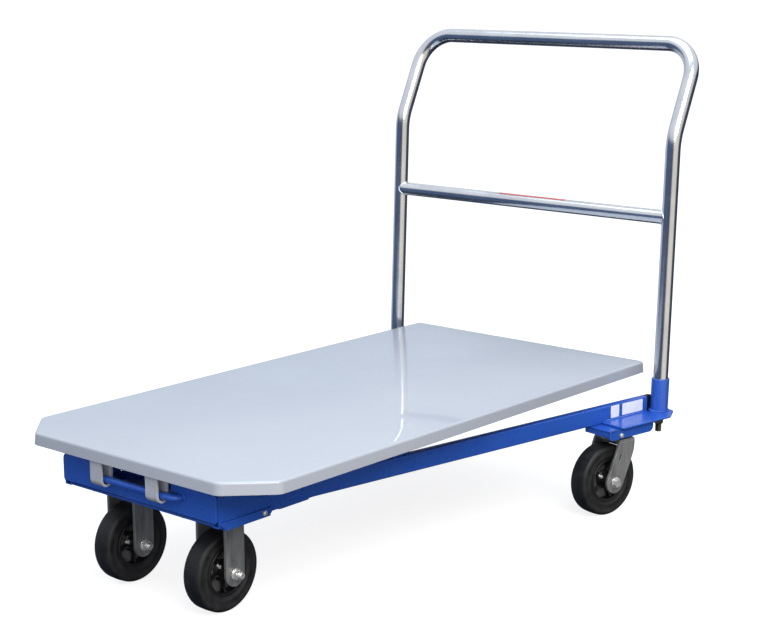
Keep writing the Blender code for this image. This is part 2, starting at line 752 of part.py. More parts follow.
def make_handle(finish):
    steel = finish["handle_steel"]
    add("push_handle", tube(handle_path(), HANDLE_RADIUS, HANDLE_RADIUS - HANDLE_WALL, 20), steel,
        smooth=True)
    add("handle_crossbar", crossbar(), steel, smooth=True)
    for side, sign in SIDES.items():
        place = (sign * HANDLE_X, leg_y(SOCKET_PLATE_TOP), 0.0)
        add(f"handle_bolt_{side}", handle_bolt(), finish["zinc"], None, place, smooth=True)


# ---- Wheels -------------------------------------------------------------------------------------------
def tyre():
    """A mould-on rubber tread, turned about the axle with its origin at the wheel's centre."""
    half = TYRE_WIDTH / 2
    radius, shoulder = WHEEL_RADIUS, TYRE_SHOULDER
    inner = CORE_RADIUS + GAP
    side = []
    for i in range(4):
        angle = math.pi / 2 * i / 3
        side.append((radius - 0.0006 - shoulder * (1 - math.cos(angle)),
                     half - shoulder + shoulder * math.sin(angle)))
    profile = [(radius, 0.0)] + side + [(inner + 0.006, half - 0.0015), (inner, half - 0.003)]
    mirror = [(r, -x) for r, x in profile[1:]][::-1]
    return turned(profile + mirror, 32)


def wheel_core():
    """An iron core: rim, thin web and hub barrel in one, bored for the sleeve."""
    sides = 32
    bore = (SLEEVE_RADIUS + RUNNING_CLEARANCE) / math.cos(math.pi / sides)
    rim_half, rim_inner = TYRE_WIDTH / 2 - 0.0035, CORE_RADIUS - 0.005
    barrel, web_half, hub_half = HUB_BARREL_RADIUS, 0.0035, HUB_LENGTH / 2
    profile = [
        (CORE_RADIUS, -rim_half), (CORE_RADIUS, rim_half), (rim_inner, rim_half),
        (rim_inner - 0.0015, web_half), (barrel + 0.002, web_half), (barrel - 0.001, hub_half),
        (bore, hub_half), (bore, -hub_half), (barrel - 0.001, -hub_half), (barrel + 0.002, -web_half),
        (rim_inner - 0.0015, -web_half), (rim_inner, -rim_half),
    ]
    return turned(profile, sides)


def core_pockets(obj, name):
    """Sinks pockets between the spokes from both sides, to a thin web; one spoke points straight down."""
    pitch = 2 * math.pi / SPOKES
    for k in range(SPOKES):
        middle = -math.pi / 2 + pitch * (k + 0.5)
        half = (pitch - SPOKE_ANGLE) / 2
        outline = []
        for i in range(7):
            angle = middle - half + 2 * half * i / 6
            outline.append((POCKET_OUTER * math.cos(angle), POCKET_OUTER * math.sin(angle)))
        for i in range(4):
            angle = middle + half - 2 * half * i / 3
            outline.append((POCKET_INNER * math.cos(angle), POCKET_INNER * math.sin(angle)))
        for side, sign in SIDES.items():
            low, high = sorted((sign * POCKET_WEB / 2, sign * 0.03))
            boolean(obj, f"{name}_pocket_{side}_{k}_helper", prism(outline, low, high, axis="X"), "DIFFERENCE")


def sleeve():
    """The hardened sleeve that the wheel turns on, clamped between the fork's legs."""
    half = FORK_HALF_WIDTH - FORK_LEG - GAP
    inner = AXLE_RADIUS + 2 * RUNNING_CLEARANCE + 0.0001
    profile = [(SLEEVE_RADIUS, -half), (SLEEVE_RADIUS, half), (inner, half), (inner, -half)]
    return turned(profile, 24)


def axle_bolt(head_sign):
    """A hexagon bolt along X with its head on the given side."""
    seat = FORK_HALF_WIDTH + GAP
    far = FORK_HALF_WIDTH + 0.0175
    profile = [(AXLE_RADIUS - 0.0008, -far), (AXLE_RADIUS, -far + 0.001), (AXLE_RADIUS, seat),
               (0.0108, seat + 0.0001), (0.0108, seat + 0.0070), (0.0088, seat + 0.0085)]
    bm = turned_solid(profile, 24, "X", flat_sides={3: True, 4: True})
    if head_sign < 0:
        bmesh.ops.rotate(bm, verts=bm.verts, matrix=Matrix.Rotation(math.pi, 3, "Z"))
    return bm


def axle_nut(side_sign):
    """A hexagon nut on the bolt's thread, clear of it by a hair."""
    seat = FORK_HALF_WIDTH + GAP
    hole = AXLE_RADIUS + GAP
    sides = 24
    sector = math.pi / 3
    rings = []
    for radius, height, hexagonal in ((0.0108, seat, True), (0.0108, seat + 0.0085, True),
                                      (0.0090, seat + 0.0100, False), (hole, seat + 0.0100, False),
                                      (hole, seat, False)):
        ring = []
        for i in range(sides):
            angle = 2 * math.pi * i / sides
            reach = radius
            if hexagonal:
                reach = radius * math.cos(sector / 2) / math.cos((angle % sector) - sector / 2)
            ring.append((side_sign * height, reach * math.cos(angle), reach * math.sin(angle)))
        rings.append(ring)
    bm = bmesh.new()
    skin(bm, rings, closed=True)
    return bm


def add_wheel(name, finish, spin_axis, bolt_parent, bolt_place, head_sign):
    """The turning pieces on the spin axis, and the fixed axle pieces on the fork's parent."""
    add(f"{name}_tyre", tyre(), finish["tyre_rubber"], spin_axis, smooth=True)
    core = add(f"{name}_wheel_core", wheel_core(), finish["core_iron"], spin_axis, smooth=True)
    core_pockets(core, name)
    add(f"{name}_axle_sleeve", sleeve(), finish["zinc"], bolt_parent, bolt_place, smooth=True)
    add(f"{name}_axle_bolt", axle_bolt(head_sign), finish["zinc"], bolt_parent, bolt_place, smooth=True)
    add(f"{name}_axle_nut", axle_nut(-head_sign), finish["zinc"], bolt_parent, bolt_place, smooth=True)


# ---- Front casters ------------------------------------------------------------------------------------
def leg_hole():
    """A cutter along X for the axle bolt, through both legs."""
    reach = FORK_HALF_WIDTH + 0.01
    radius = AXLE_RADIUS + GAP
    return turned_solid([(radius, -reach), (radius, reach)], 24)


def rigid_fork():
    """Top plate and two straight legs of a rigid caster; its origin is the wheel's centre."""
    top = CASTER_HEIGHT - WHEEL_RADIUS
    underside = top - CASTER_PLATE
    half = FRONT_LEG_WIDTH / 2
    outline = [(half, underside + 0.001)]
    for i in range(9):
        angle = -math.pi * i / 8
        outline.append((half * math.cos(angle), half * math.sin(angle)))
    outline.append((-half, underside + 0.001))
    length, width = CASTER_PLATE_LENGTH / 2, FRONT_PLATE_WIDTH / 2
    plan = rounded([(-width, -length), (width, -length), (width, length), (-width, length)], 0.008, 3)
    return prism(plan, underside, top), outline


def make_front_casters(finish):
    for side, sign in SIDES.items():
        name = f"front_{side}"
        centre = (sign * FRONT_WHEEL_X, FRONT_WHEEL_Y, WHEEL_RADIUS)
        plate, leg = rigid_fork()
        fork = add(f"{name}_fork", plate, finish["fork_steel"], None, centre)
        for leg_name, leg_sign in SIDES.items():
            outer = leg_sign * (FORK_HALF_WIDTH - 0.00005)
            low, high = sorted((outer, leg_sign * (FORK_HALF_WIDTH - FORK_LEG)))
            boolean(fork, f"{name}_leg_{leg_name}_helper", prism(leg, low, high, axis="X"), "UNION")
        boolean(fork, f"{name}_axle_hole_helper", leg_hole(), "DIFFERENCE")
        spin = axis_empty(f"{name}_wheel_axis", centre)
        add_wheel(name, finish, spin, None, centre, -1)


# ---- Rear casters -------------------------------------------------------------------------------------
def swivel_top():
    """The fixed top plate with its turned ball-race boss, bored for the kingpin; origin on the kingpin."""
    length = CASTER_PLATE_LENGTH / 2
    half = SWIVEL_PLATE_HALF_WIDTH
    plan = rounded([(-half, -length), (half, -length), (half, length), (-half, length)], 0.008, 3)
    return prism(plan, CASTER_HEIGHT - CASTER_PLATE, CASTER_HEIGHT)


def swivel_leg():
    """Side view of a raked leg as (along, height) points; along is 0 at the kingpin."""
    axle = -SWIVEL_TRAIL
    radius = 0.0235
    points = [(axle + 0.0545, CROWN_BOTTOM + 0.001), (axle + 0.0525, 0.140), (axle + 0.0440, 0.117)]
    first, last = math.radians(-20), math.radians(-200)
    for i in range(9):
        angle = first + (last - first) * i / 8
        points.append((axle + radius * math.cos(angle), WHEEL_RADIUS + radius * math.sin(angle)))
    points += [(axle - 0.0125, 0.1050), (axle + 0.010, CROWN_BOTTOM + 0.001)]
    return points


def swivel_fork(finish, name, parent):
    """Crown, raked legs and the yoke plate behind them, pierced for kingpin, axle and leg slots."""
    crown = turned_solid([(CROWN_RADIUS, CROWN_BOTTOM), (CROWN_RADIUS, CROWN_TOP)], 32, "Z")
    fork = add(f"{name}_fork", crown, finish["fork_steel"], parent, smooth=True)
    back = -SWIVEL_TRAIL + 0.009
    bridge = box((-FORK_HALF_WIDTH + 0.00005, back, CROWN_BOTTOM + 0.0001),
                 (FORK_HALF_WIDTH - 0.00005, 0.0185, CROWN_TOP - 0.0001))
    boolean(fork, f"{name}_bridge_helper", bridge, "UNION")
    for leg_name, leg_sign in SIDES.items():
        low, high = sorted((leg_sign * FORK_HALF_WIDTH, leg_sign * (FORK_HALF_WIDTH - FORK_LEG)))
        boolean(fork, f"{name}_leg_{leg_name}_helper", prism(swivel_leg(), low, high, axis="X"), "UNION")
    half = FORK_HALF_WIDTH - GAP
    yoke = box((-half, YOKE_FRONT, YOKE_BOTTOM), (half, YOKE_REAR, CROWN_BOTTOM + 0.001))
    boolean(fork, f"{name}_yoke_helper", yoke, "UNION")
    axle = leg_hole()
    bmesh.ops.translate(axle, verts=axle.verts, vec=(0.0, -SWIVEL_TRAIL, WHEEL_RADIUS))
    boolean(fork, f"{name}_axle_hole_helper", axle, "DIFFERENCE")
    slot_centre = Vector((-SWIVEL_TRAIL + 0.0128, 0.128))
    along = Vector((math.sin(math.radians(20)), math.cos(math.radians(20))))
    across = Vector((along.y, -along.x))
    corners = [slot_centre + along * a + across * b for a, b in
               ((-0.0065, -0.0022), (-0.0065, 0.0022), (0.0065, 0.0022), (0.0065, -0.0022))]
    slot = prism(rounded(corners, 0.0018, 3), -0.05, 0.05, axis="X")
    boolean(fork, f"{name}_slot_helper", slot, "DIFFERENCE")
    bore = (KINGPIN_RADIUS + RUNNING_CLEARANCE) / math.cos(math.pi / 24)
    hole = turned_solid([(bore, CROWN_BOTTOM - 0.01), (bore, CROWN_TOP + 0.01)], 24, "Z")
    boolean(fork, f"{name}_kingpin_hole_helper", hole, "DIFFERENCE")


def kingpin():
    """The swivel's centre bolt: a head under the crown and a shank up through the top plate."""
    head_top = CROWN_BOTTOM - GAP
    profile = [(0.0095, head_top - 0.0065), (0.0105, head_top - 0.0055), (0.0105, head_top),
               (KINGPIN_RADIUS, head_top + 0.0001), (KINGPIN_RADIUS, CASTER_HEIGHT - 0.0005)]
    return turned_solid(profile, 24, "Z")


def make_rear_casters(finish):
    for side, sign in SIDES.items():
        name = f"rear_{side}"
        place = (sign * KINGPIN_X, KINGPIN_Y, 0.0)
        turn = -sign * RAIL_SPLAY
        top = add(f"{name}_swivel_plate", swivel_top(), finish["fork_steel"], None, place, turn)
        boss_profile = [(RACE_RADIUS - 0.004, CROWN_TOP + 0.0008), (RACE_RADIUS, CROWN_TOP + 0.005),
                        (RACE_RADIUS + 0.001, CASTER_HEIGHT - CASTER_PLATE + 0.0005)]
        boolean(top, f"{name}_race_helper", turned_solid(boss_profile, 32, "Z"), "UNION")
        hole = turned_solid([(KINGPIN_RADIUS + GAP, CROWN_TOP - 0.01),
                             (KINGPIN_RADIUS + GAP, CASTER_HEIGHT + 0.01)], 24, "Z")
        boolean(top, f"{name}_plate_hole_helper", hole, "DIFFERENCE")
        add(f"{name}_kingpin", kingpin(), finish["zinc"], None, place, smooth=True)
        swivel = axis_empty(f"{name}_swivel_axis", place, REAR_YAW[side])
        swivel_fork(finish, name, swivel)
        wheel_place = (0.0, -SWIVEL_TRAIL, WHEEL_RADIUS)
        spin = axis_empty(f"{name}_wheel_axis", wheel_place, parent=swivel)
        add_wheel(name, finish, spin, swivel, wheel_place, sign)


# ---- Flange bolts -------------------------------------------------------------------------------------
def flange_bolt(sign):
    """A round-headed bolt along X; its origin is the flange's outer face, its head outboard."""
    radius = FLANGE_BOLT_RADIUS
    profile = [(radius, GAP - AXLE_FLANGE), (radius, GAP), (0.0054, GAP + 0.0001), (0.0054, 0.0022),
               (0.0042, 0.0036), (0.0018, 0.0043)]
    bm = turned_solid(profile, 16)
    if sign < 0:
        bmesh.ops.rotate(bm, verts=bm.verts, matrix=Matrix.Rotation(math.pi, 3, "Z"))
    return bm


def bolt_to(flange, name, finish, face, turn_z, sign, local):
    """Pierces a flange and fits its bolt; face is the outer face's point, local that in the flange's frame."""
    radius = FLANGE_BOLT_RADIUS + GAP
    hole = turned_solid([(radius, -AXLE_FLANGE - 0.001), (radius, AXLE_FLANGE + 0.001)], 16)
    bmesh.ops.translate(hole, verts=hole.verts, vec=local)
    boolean(flange, f"{name}_hole_helper", hole, "DIFFERENCE")
    add(name, flange_bolt(sign), finish["zinc"], None, face, turn_z, smooth=True)


def make_flange_bolts(finish):
    axle = bpy.data.objects["front_axle_plate"]
    reach = RAIL_FRONT_X + GAP + AXLE_FLANGE
    for side, sign in SIDES.items():
        face = (sign * reach, FRONT_BOLT_Y, FRONT_BOLT_Z)
        bolt_to(axle, f"axle_plate_bolt_{side}", finish, face, 0.0, sign, face)
        tray = bpy.data.objects[f"rear_caster_tray_{side}"]
        turn = -sign * RAIL_SPLAY
        local = Vector((sign * TRAY_HALF_WIDTH, TRAY_BOLT_ALONG, TRAY_BOLT_Z))
        turned_local = Matrix.Rotation(turn, 3, "Z") @ local
        face = (sign * KINGPIN_X + turned_local.x, KINGPIN_Y + turned_local.y, TRAY_BOLT_Z)
        bolt_to(tray, f"caster_tray_bolt_{side}", finish, face, turn, sign, local)


# ---- Assembly -----------------------------------------------------------------------------------------
def main():
    clear_scene()
    finish = make_materials()
    make_deck(finish)
    make_frame(finish)
    make_rear_corners(finish)
    make_handle(finish)
    make_front_casters(finish)
    make_rear_casters(finish)
    make_flange_bolts(finish)


main()
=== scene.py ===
"""Looks of the nestable platform trolley: finishes, detail pieces, studio and camera."""
import math

import bmesh
import bpy
from mathutils import Matrix, Vector


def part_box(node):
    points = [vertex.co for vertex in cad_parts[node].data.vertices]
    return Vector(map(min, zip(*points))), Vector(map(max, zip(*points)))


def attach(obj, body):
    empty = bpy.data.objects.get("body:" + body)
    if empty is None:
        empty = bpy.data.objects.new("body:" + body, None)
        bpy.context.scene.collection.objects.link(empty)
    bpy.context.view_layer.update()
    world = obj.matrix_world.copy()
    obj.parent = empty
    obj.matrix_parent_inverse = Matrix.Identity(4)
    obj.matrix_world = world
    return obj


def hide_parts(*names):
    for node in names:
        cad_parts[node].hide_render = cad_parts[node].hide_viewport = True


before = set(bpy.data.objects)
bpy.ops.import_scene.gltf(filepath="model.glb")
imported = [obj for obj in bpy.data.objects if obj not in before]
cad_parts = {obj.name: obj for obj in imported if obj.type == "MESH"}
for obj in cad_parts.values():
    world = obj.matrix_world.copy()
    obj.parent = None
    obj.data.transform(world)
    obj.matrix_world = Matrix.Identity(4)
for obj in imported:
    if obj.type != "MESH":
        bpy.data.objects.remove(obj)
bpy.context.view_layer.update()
SIDES = {"left": -1, "right": 1}

# ---- Sizes shared with the frame, in metres ----
deck_low, deck_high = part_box("deck_pan")
DECK_FRONT, DECK_REAR, DECK_HALF = deck_low.y, deck_high.y, deck_high.x
DECK_BOTTOM, DECK_TOP = deck_low.z, deck_high.z
DECK_CHAMFER = 0.0765
DECK_SHEET = 0.0027
DECK_EDGE_RADIUS = 0.0055
DECK_FRONT_RADIUS = 0.022
DECK_REAR_RADIUS = 0.010
DECK_FLARE = 0.0016

HINGE_Y = DECK_FRONT + 0.017
HINGE_Z = 0.2330
ROD_RADIUS = 0.00635
ROD_BEND = 0.0135
ROD_LEFT, ROD_RIGHT = -0.0975, 0.1185
HOOK_INNER = 0.0092
HOOK_STRAP = 0.0048
HOOK_BACK_TOP = 0.262

plate_low, plate_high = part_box("front_plate")
PLATE_FRONT, PLATE_BACK, PLATE_HALF = plate_low.y, plate_high.y, plate_high.x
PLATE_LOW, PLATE_HIGH = plate_low.z, plate_high.z
NOTCH_HALF = 0.090
NOTCH_LOW = 0.2255

RAIL_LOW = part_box("rail_right")[0].z
RAIL_HIGH = RAIL_LOW + 0.036
RAIL_SHOULDER_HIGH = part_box("rail_right")[1].z
RAIL_SHOULDER_Y = (-0.5600, -0.5250)
RAIL_FRONT_X = 0.2044
RAIL_WIDTH = 0.018
RAIL_WALL = 0.0025
RAIL_KINK_Y = -0.3855
RAIL_END_Y = 0.5115
RAIL_SPLAY = math.radians(9.34)

axle_low, axle_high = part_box("front_axle_plate")
MOUNT_LOW = axle_low.z
MOUNT_HIGH = MOUNT_LOW + 0.0045
AXLE_REACH, AXLE_RISE = axle_high.x, axle_high.z
AXLE_FRONT, AXLE_REAR = -0.6111, -0.5010
AXLE_LIP_HALF = 0.183

WHEEL_RADIUS = 0.0762
TYRE_HALF = 0.021
CORE_RADIUS = 0.046
HUB_HALF = 0.0314
SLEEVE_RADIUS = 0.0103
AXLE_RADIUS = 0.00635
HEX_RADIUS = 0.0101
WASHER = 0.0016
FORK_HALF = 0.0385
FORK_LEG = 0.006
CASTER_TOP = MOUNT_LOW - 0.0003
CASTER_PLATE = 0.0035
FRONT_WHEEL_X, FRONT_WHEEL_Y = 0.1200, -0.5412
KINGPIN_X, KINGPIN_Y = 0.3473, 0.4018
TRAIL = 0.038
REAR_YAW = {"left": math.radians(-9.0), "right": math.radians(-12.5)}

TRAY_HALF = 0.0405
TRAY_FRONT, TRAY_REAR = -0.065, 0.070
TRAY_LOW = 0.1695
TRAY_SHEET = 0.004

SOCKET_RADIUS = 0.01905
SOCKET_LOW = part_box("handle_socket_right")[0].z
SOCKET_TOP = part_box("handle_socket_right")[1].z
HANDLE_RADIUS = 0.015875
HANDLE_X = 0.3686
HANDLE_FOOT_Y = 0.5365
HANDLE_LEAN = 0.0381
HANDLE_BEND_Z = 0.7767
HANDLE_TOP_Y, HANDLE_TOP_Z = 0.6471, 0.9692
HANDLE_ELBOW, HANDLE_CORNER = 0.120, 0.076
TUBE_WALL = 0.0021
CROSSBAR_RADIUS = 0.0149
CROSSBAR_Z = 0.6115


# ---- Node materials ----
def srgb(r, g, b):
    def linear(v):
        v /= 255
        return v / 12.92 if v <= 0.04045 else ((v + 0.055) / 1.055) ** 2.4
    return (linear(r), linear(g), linear(b))


class Nodes:
    """Adds nodes to a tree."""

    def __init__(self, tree):
        self.tree = tree

    def feed(self, socket, value):
        """Links an output to the socket, or sets it to a number, a vector or a colour given as a tuple."""
        if hasattr(value, "is_linked"):
            self.tree.links.new(value, socket)
        else:
            socket.default_value = (*value, 1.0) if isinstance(value, tuple) else value

    def node(self, kind, feeds=None, **settings):
        """The outputs of a new node with those settings and inputs."""
        made = self.tree.nodes.new(kind)
        for key, value in settings.items():
            setattr(made, key, value)
        for key, value in (feeds or {}).items():
            self.feed(made.inputs[key], value)
        return made.outputs

    def remap(self, value, low, high, to_low=0.0, to_high=1.0):
        return self.node("ShaderNodeMapRange", {"Value": value, "From Min": low, "From Max": high,
                                                "To Min": to_low, "To Max": to_high})["Result"]

    def math(self, operation, a, b):
        return self.node("ShaderNodeMath", {0: a, 1: b}, operation=operation)["Value"]

    def mix(self, share, a, b):
        return self.node("ShaderNodeMix", {"Factor": share, "A": a, "B": b}, data_type="RGBA")["Result"]


class Shader(Nodes):
    """Builds one node material; most methods return an output socket."""

    SOCKETS = {"colour": "Base Color", "roughness": "Roughness", "metallic": "Metallic", "normal": "Normal",
               "coat": "Coat Weight", "coat_roughness": "Coat Roughness", "specular": "Specular IOR Level",
               "glow": "Emission Color", "glow_strength": "Emission Strength"}

    def __init__(self, name):
        self.material = bpy.data.materials.new(name)
        self.material.use_nodes = True
        super().__init__(self.material.node_tree)
        self.place = self.node("ShaderNodeTexCoord")["Object"]

    def stretched(self, *scale):
        return self.node("ShaderNodeMapping", {"Vector": self.place, "Scale": Vector(scale)})["Vector"]

    def noise(self, scale, detail=3.0, rough=0.5, vector=None):
        return self.node("ShaderNodeTexNoise", {"Vector": vector or self.place, "Scale": scale,
                                                "Detail": detail, "Roughness": rough})["Fac"]

    def blend(self, value, low, high, dark, light):
        """Goes from the dark colour to the light one as value goes from low to high."""
        return self.mix(self.remap(value, low, high), srgb(*dark), srgb(*light))

    def fleck(self, tone, value, low, high, share, colour):
        """The tone with up to that share of another colour where value is high."""
        return self.mix(self.remap(value, low, high, 0.0, share), tone, srgb(*colour))

    def painted_edge_highlight(self, tone, radius, share, colour):
        """The tone with another colour painted on convex and concave edges, as a painted highlight."""
        soft = self.node("ShaderNodeBevel", {"Radius": radius}, samples=4)["Normal"]
        true = self.node("ShaderNodeNewGeometry")["Normal"]
        dot = self.node("ShaderNodeVectorMath", {0: soft, 1: true}, operation="DOT_PRODUCT")["Value"]
        edge = self.remap(dot, 0.99, 0.80)
        return self.mix(self.math("MULTIPLY", edge, share), tone, srgb(*colour))

    def bump(self, value, distance, strength, normal=None):
        feeds = {"Height": value, "Distance": distance, "Strength": strength}
        if normal:
            feeds["Normal"] = normal
        return self.node("ShaderNodeBump", feeds)["Normal"]

    def set(self, **values):
        for key, value in values.items():
            self.feed(self.tree.nodes["Principled BSDF"].inputs[self.SOCKETS[key]], value)
        return self.material


def one_noise(name, noise, dark, light, rough, bump, span=(0.35, 0.7), edge=None, bump_scale=None,
              **constants):
    """A finish whose tone and roughness follow one noise, and its bump too unless that has its own scale."""
    s = Shader(name)
    grain = s.noise(*noise)
    tone = s.blend(grain, *span, dark, light)
    # edge, when given, paints a highlight colour along the finish's edges
    if edge:
        tone = s.painted_edge_highlight(tone, *edge)
    height = s.noise(bump_scale, 2.0) if bump_scale else grain
    return s.set(colour=tone, roughness=s.remap(grain, 0.3, 0.7, *rough), normal=s.bump(height, *bump),
                 **constants)


def deck_paint():
    s = Shader("deck_powder_coat")
    tone = s.blend(s.noise(2.2, 2.0), 0.3, 0.7, (161, 166, 176), (168, 173, 182))
    tone = s.fleck(tone, s.noise(55.0, 3.0), 0.62, 0.78, 0.12, (176, 181, 190))
    rough = s.remap(s.noise(9.0, 4.0, 0.6), 0.3, 0.7, 0.20, 0.27)
    slow = s.bump(s.noise(26.0, 1.0, 0.4), 0.0004, 0.05)
    peel = s.bump(s.noise(210.0, 1.0, 0.4), 0.00006, 0.06, slow)
    return s.set(colour=tone, roughness=rough, normal=peel, coat=0.5, coat_roughness=0.04)


def blue_paint():
    s = Shader("frame_blue_powder_coat")
    tone = s.blend(s.noise(6.0, 3.0), 0.3, 0.7, (33, 79, 172), (39, 87, 182))
    tone = s.fleck(tone, s.noise(420.0, 2.0, 0.6), 0.66, 0.80, 0.22, (56, 104, 194))
    # painted highlight: a lighter blue along the edges
    tone = s.painted_edge_highlight(tone, 0.0012, 0.30, (78, 128, 208))
    rough = s.remap(s.noise(30.0, 4.0, 0.6), 0.3, 0.7, 0.24, 0.36)
    peel = s.bump(s.noise(330.0, 2.0, 0.45), 0.00012, 0.16)
    return s.set(colour=tone, roughness=rough, normal=peel, coat=0.25, coat_roughness=0.12)


def chrome():
    s = Shader("handle_polished_tube")
    streak = s.noise(60.0, 5.0, 0.65, s.stretched(1.0, 1.0, 18.0))
    cloud = s.noise(14.0, 4.0, 0.6)
    tone = s.blend(cloud, 0.35, 0.7, (214, 216, 220), (230, 231, 233))
    rough = s.math("ADD", s.remap(streak, 0.3, 0.7, 0.13, 0.22), s.remap(cloud, 0.4, 0.7, 0.0, 0.05))
    return s.set(colour=tone, metallic=1.0, roughness=rough, normal=s.bump(streak, 0.00012, 0.22))


def fork_steel():
    s = Shader("caster_zinc_plate")
    grain = s.noise(90.0, 6.0, 0.7, s.stretched(1.0, 1.0, 0.14))
    tone = s.blend(grain, 0.35, 0.68, (125, 126, 126), (164, 165, 165))
    tone = s.fleck(tone, s.noise(38.0, 4.0, 0.6), 0.5, 0.75, 0.35, (128, 124, 117))
    # painted highlight: near-white along the edges
    tone = s.painted_edge_highlight(tone, 0.0010, 0.6, (228, 224, 216))
    fine = s.bump(s.noise(700.0, 2.0), 0.0001, 0.2)
    return s.set(colour=tone, metallic=0.65, roughness=s.remap(grain, 0.3, 0.7, 0.34, 0.50),
                 normal=s.bump(grain, 0.00018, 0.35, fine))


def tyre_rubber():
    s = Shader("tyre_black_rubber")
    dust = s.noise(45.0, 5.0, 0.65)
    tone = s.blend(dust, 0.42, 0.75, (20, 20, 21), (40, 40, 42))
    grain = s.bump(s.noise(520.0, 3.0, 0.6), 0.0002, 0.35, s.bump(dust, 0.0003, 0.15))
    return s.set(colour=tone, roughness=s.remap(dust, 0.3, 0.7, 0.46, 0.62), specular=0.42, normal=grain)


def cast_black(name, dark, light):
    # the edge colour is a painted highlight: lighter grey along the black's edges
    return one_noise(name, (260.0, 4.0, 0.6), dark, light, (0.32, 0.50), (0.0003, 0.35), span=(0.4, 0.7),
                     edge=(0.0012, 0.25, (58, 58, 60)))


def vinyl(name, dark, light):
    return one_noise(name, (70.0,), dark, light, (0.28, 0.40), (0.0001, 0.15), bump_scale=300.0)


LOOKS = {
    "deck_paint": deck_paint(),
    # the hook grey's edge colour is a painted highlight
    "hook_paint": one_noise("hook_grey_paint", (160.0, 4.0, 0.6), (164, 168, 176), (180, 184, 191),
                            (0.30, 0.42), (0.00015, 0.25), edge=(0.0012, 0.35, (205, 208, 212)),
                            bump_scale=300.0, coat=0.15),
    "frame_paint": blue_paint(),
    "handle_chrome": chrome(),
    "caster_steel": fork_steel(),
    # the zinc's edge colour is a painted highlight
    "zinc_hardware": one_noise("zinc_hardware", (240.0, 4.0, 0.65), (198, 198, 196), (228, 228, 225),
                               (0.22, 0.36), (0.0001, 0.25), edge=(0.0008, 0.5, (235, 232, 226)),
                               metallic=0.65),
    "wheel_iron": cast_black("wheel_core_black", (12, 12, 12), (22, 22, 22)),
    "tyre_rubber": tyre_rubber(),
    "black_rubber": one_noise("black_moulded_rubber", (480.0, 3.0, 0.55), (20, 20, 21), (36, 36, 37),
                              (0.42, 0.60), (0.0002, 0.35), span=(0.4, 0.7)),
}
DULL = one_noise("dull_steel_bolt", (200.0, 4.0, 0.65), (104, 98, 88), (142, 134, 120), (0.36, 0.55),
                 (0.00015, 0.3), metallic=0.9)
# painted shade: a grey sheet across the wheel's openings, toned like the shaded floor seen through them
FLOOR_SHADE_WEB = cast_black("wheel_web_painted_floor_shade", (74, 74, 76), (96, 96, 98))
LABEL = vinyl("blank_white_vinyl", (226, 228, 238), (238, 240, 246))
RED = vinyl("plain_red_vinyl", (176, 70, 72), (190, 86, 86))


# ---- Mesh building ----
def add_object(name, data):
    obj = bpy.data.objects.new(name, data)
    bpy.context.scene.collection.objects.link(obj)
    return obj


def finish_mesh(name, bm, material, angle=35.0):
    bmesh.ops.remove_doubles(bm, verts=bm.verts, dist=1e-6)
    bmesh.ops.recalc_face_normals(bm, faces=bm.faces)
    mesh = bpy.data.meshes.new(name)
    bm.to_mesh(mesh)
    bm.free()
    mesh.shade_smooth()
    mesh.set_sharp_from_angle(angle=math.radians(angle))
    mesh.materials.append(material)
    return add_object(name, mesh)


def piece(name, bm, body, slot=None, replaces=(), material=None, bevel=0.0, segments=3, angle=35.0,
          place=None):
    """A finished piece on a body, in its slot's look unless a material is given.

    Bevel rounds its sharp edges; place is a matrix applied to the mesh."""
    if place is not None:
        bmesh.ops.transform(bm, matrix=place, verts=bm.verts)
    obj = finish_mesh(name, bm, material or LOOKS[slot], angle)
    if bevel:
        modifier = obj.modifiers.new("edge", "BEVEL")
        modifier.width = bevel
        modifier.segments = segments
        modifier.limit_method = "ANGLE"
        modifier.angle_limit = math.radians(32)
        modifier.harden_normals = True
    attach(obj, body)
    if replaces:
        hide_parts(*replaces)


def blue_piece(name, bm, replaces=(), **finish):
    piece(name, bm, "frame", "frame_paint", replaces, **finish)


def circle(sides):
    """Angles evenly round a full turn."""
    return [2 * math.pi * i / sides for i in range(sides)]


def arc(centre, start, end, steps):
    turn = start.angle(end)
    return [centre + (start * math.sin((1 - t) * turn) + end * math.sin(t * turn)) / math.sin(turn)
            for t in (i / steps for i in range(steps + 1))]


def corner_arc(before, here, after, radius, steps):
    if radius <= 0:
        return [here]
    back, ahead = (before - here).normalized(), (after - here).normalized()
    half = back.angle(ahead) / 2
    centre = here + (back + ahead).normalized() * radius / math.sin(half)
    reach = radius / math.tan(half)
    return arc(centre, here + back * reach - centre, here + ahead * reach - centre, steps)


def rounded(corners, radii, steps=6):
    """A closed outline whose corners are arcs."""
    corners = [Vector(c) for c in corners]
    count = len(corners)
    if not isinstance(radii, (list, tuple)):
        radii = [radii] * count
    points = []
    for k in range(count):
        points += corner_arc(corners[k - 1], corners[k], corners[(k + 1) % count], radii[k], steps)
    return points


def rounded_box(x0, y0, x1, y1, radii, steps=6):
    return rounded([(x0, y0), (x1, y0), (x1, y1), (x0, y1)], radii, steps)


def bent_path(corners, radii, steps):
    """An open 3-D path whose inner corners are arcs."""
    corners = [Vector(c) for c in corners]
    points = [corners[0]]
    for k in range(1, len(corners) - 1):
        points += corner_arc(corners[k - 1], corners[k], corners[k + 1], radii[k - 1], steps)
    return points + [corners[-1]]


def skin(bm, rings, closed=False, caps=False, wrap=True):
    """Faces between neighbouring rings; closed joins the last to the first, wrap closes each ring."""
    rows = [[bm.verts.new(p) for p in ring] for ring in rings]
    pairs = list(zip(rows, rows[1:]))
    if closed:
        pairs.append((rows[-1], rows[0]))
    for near, far in pairs:
        for i in range(len(near) if wrap else len(near) - 1):
            j = (i + 1) % len(near)
            bm.faces.new((near[i], near[j], far[j], far[i]))
    if caps:
        bm.faces.new(rows[0])
        bm.faces.new(rows[-1])
    return rows


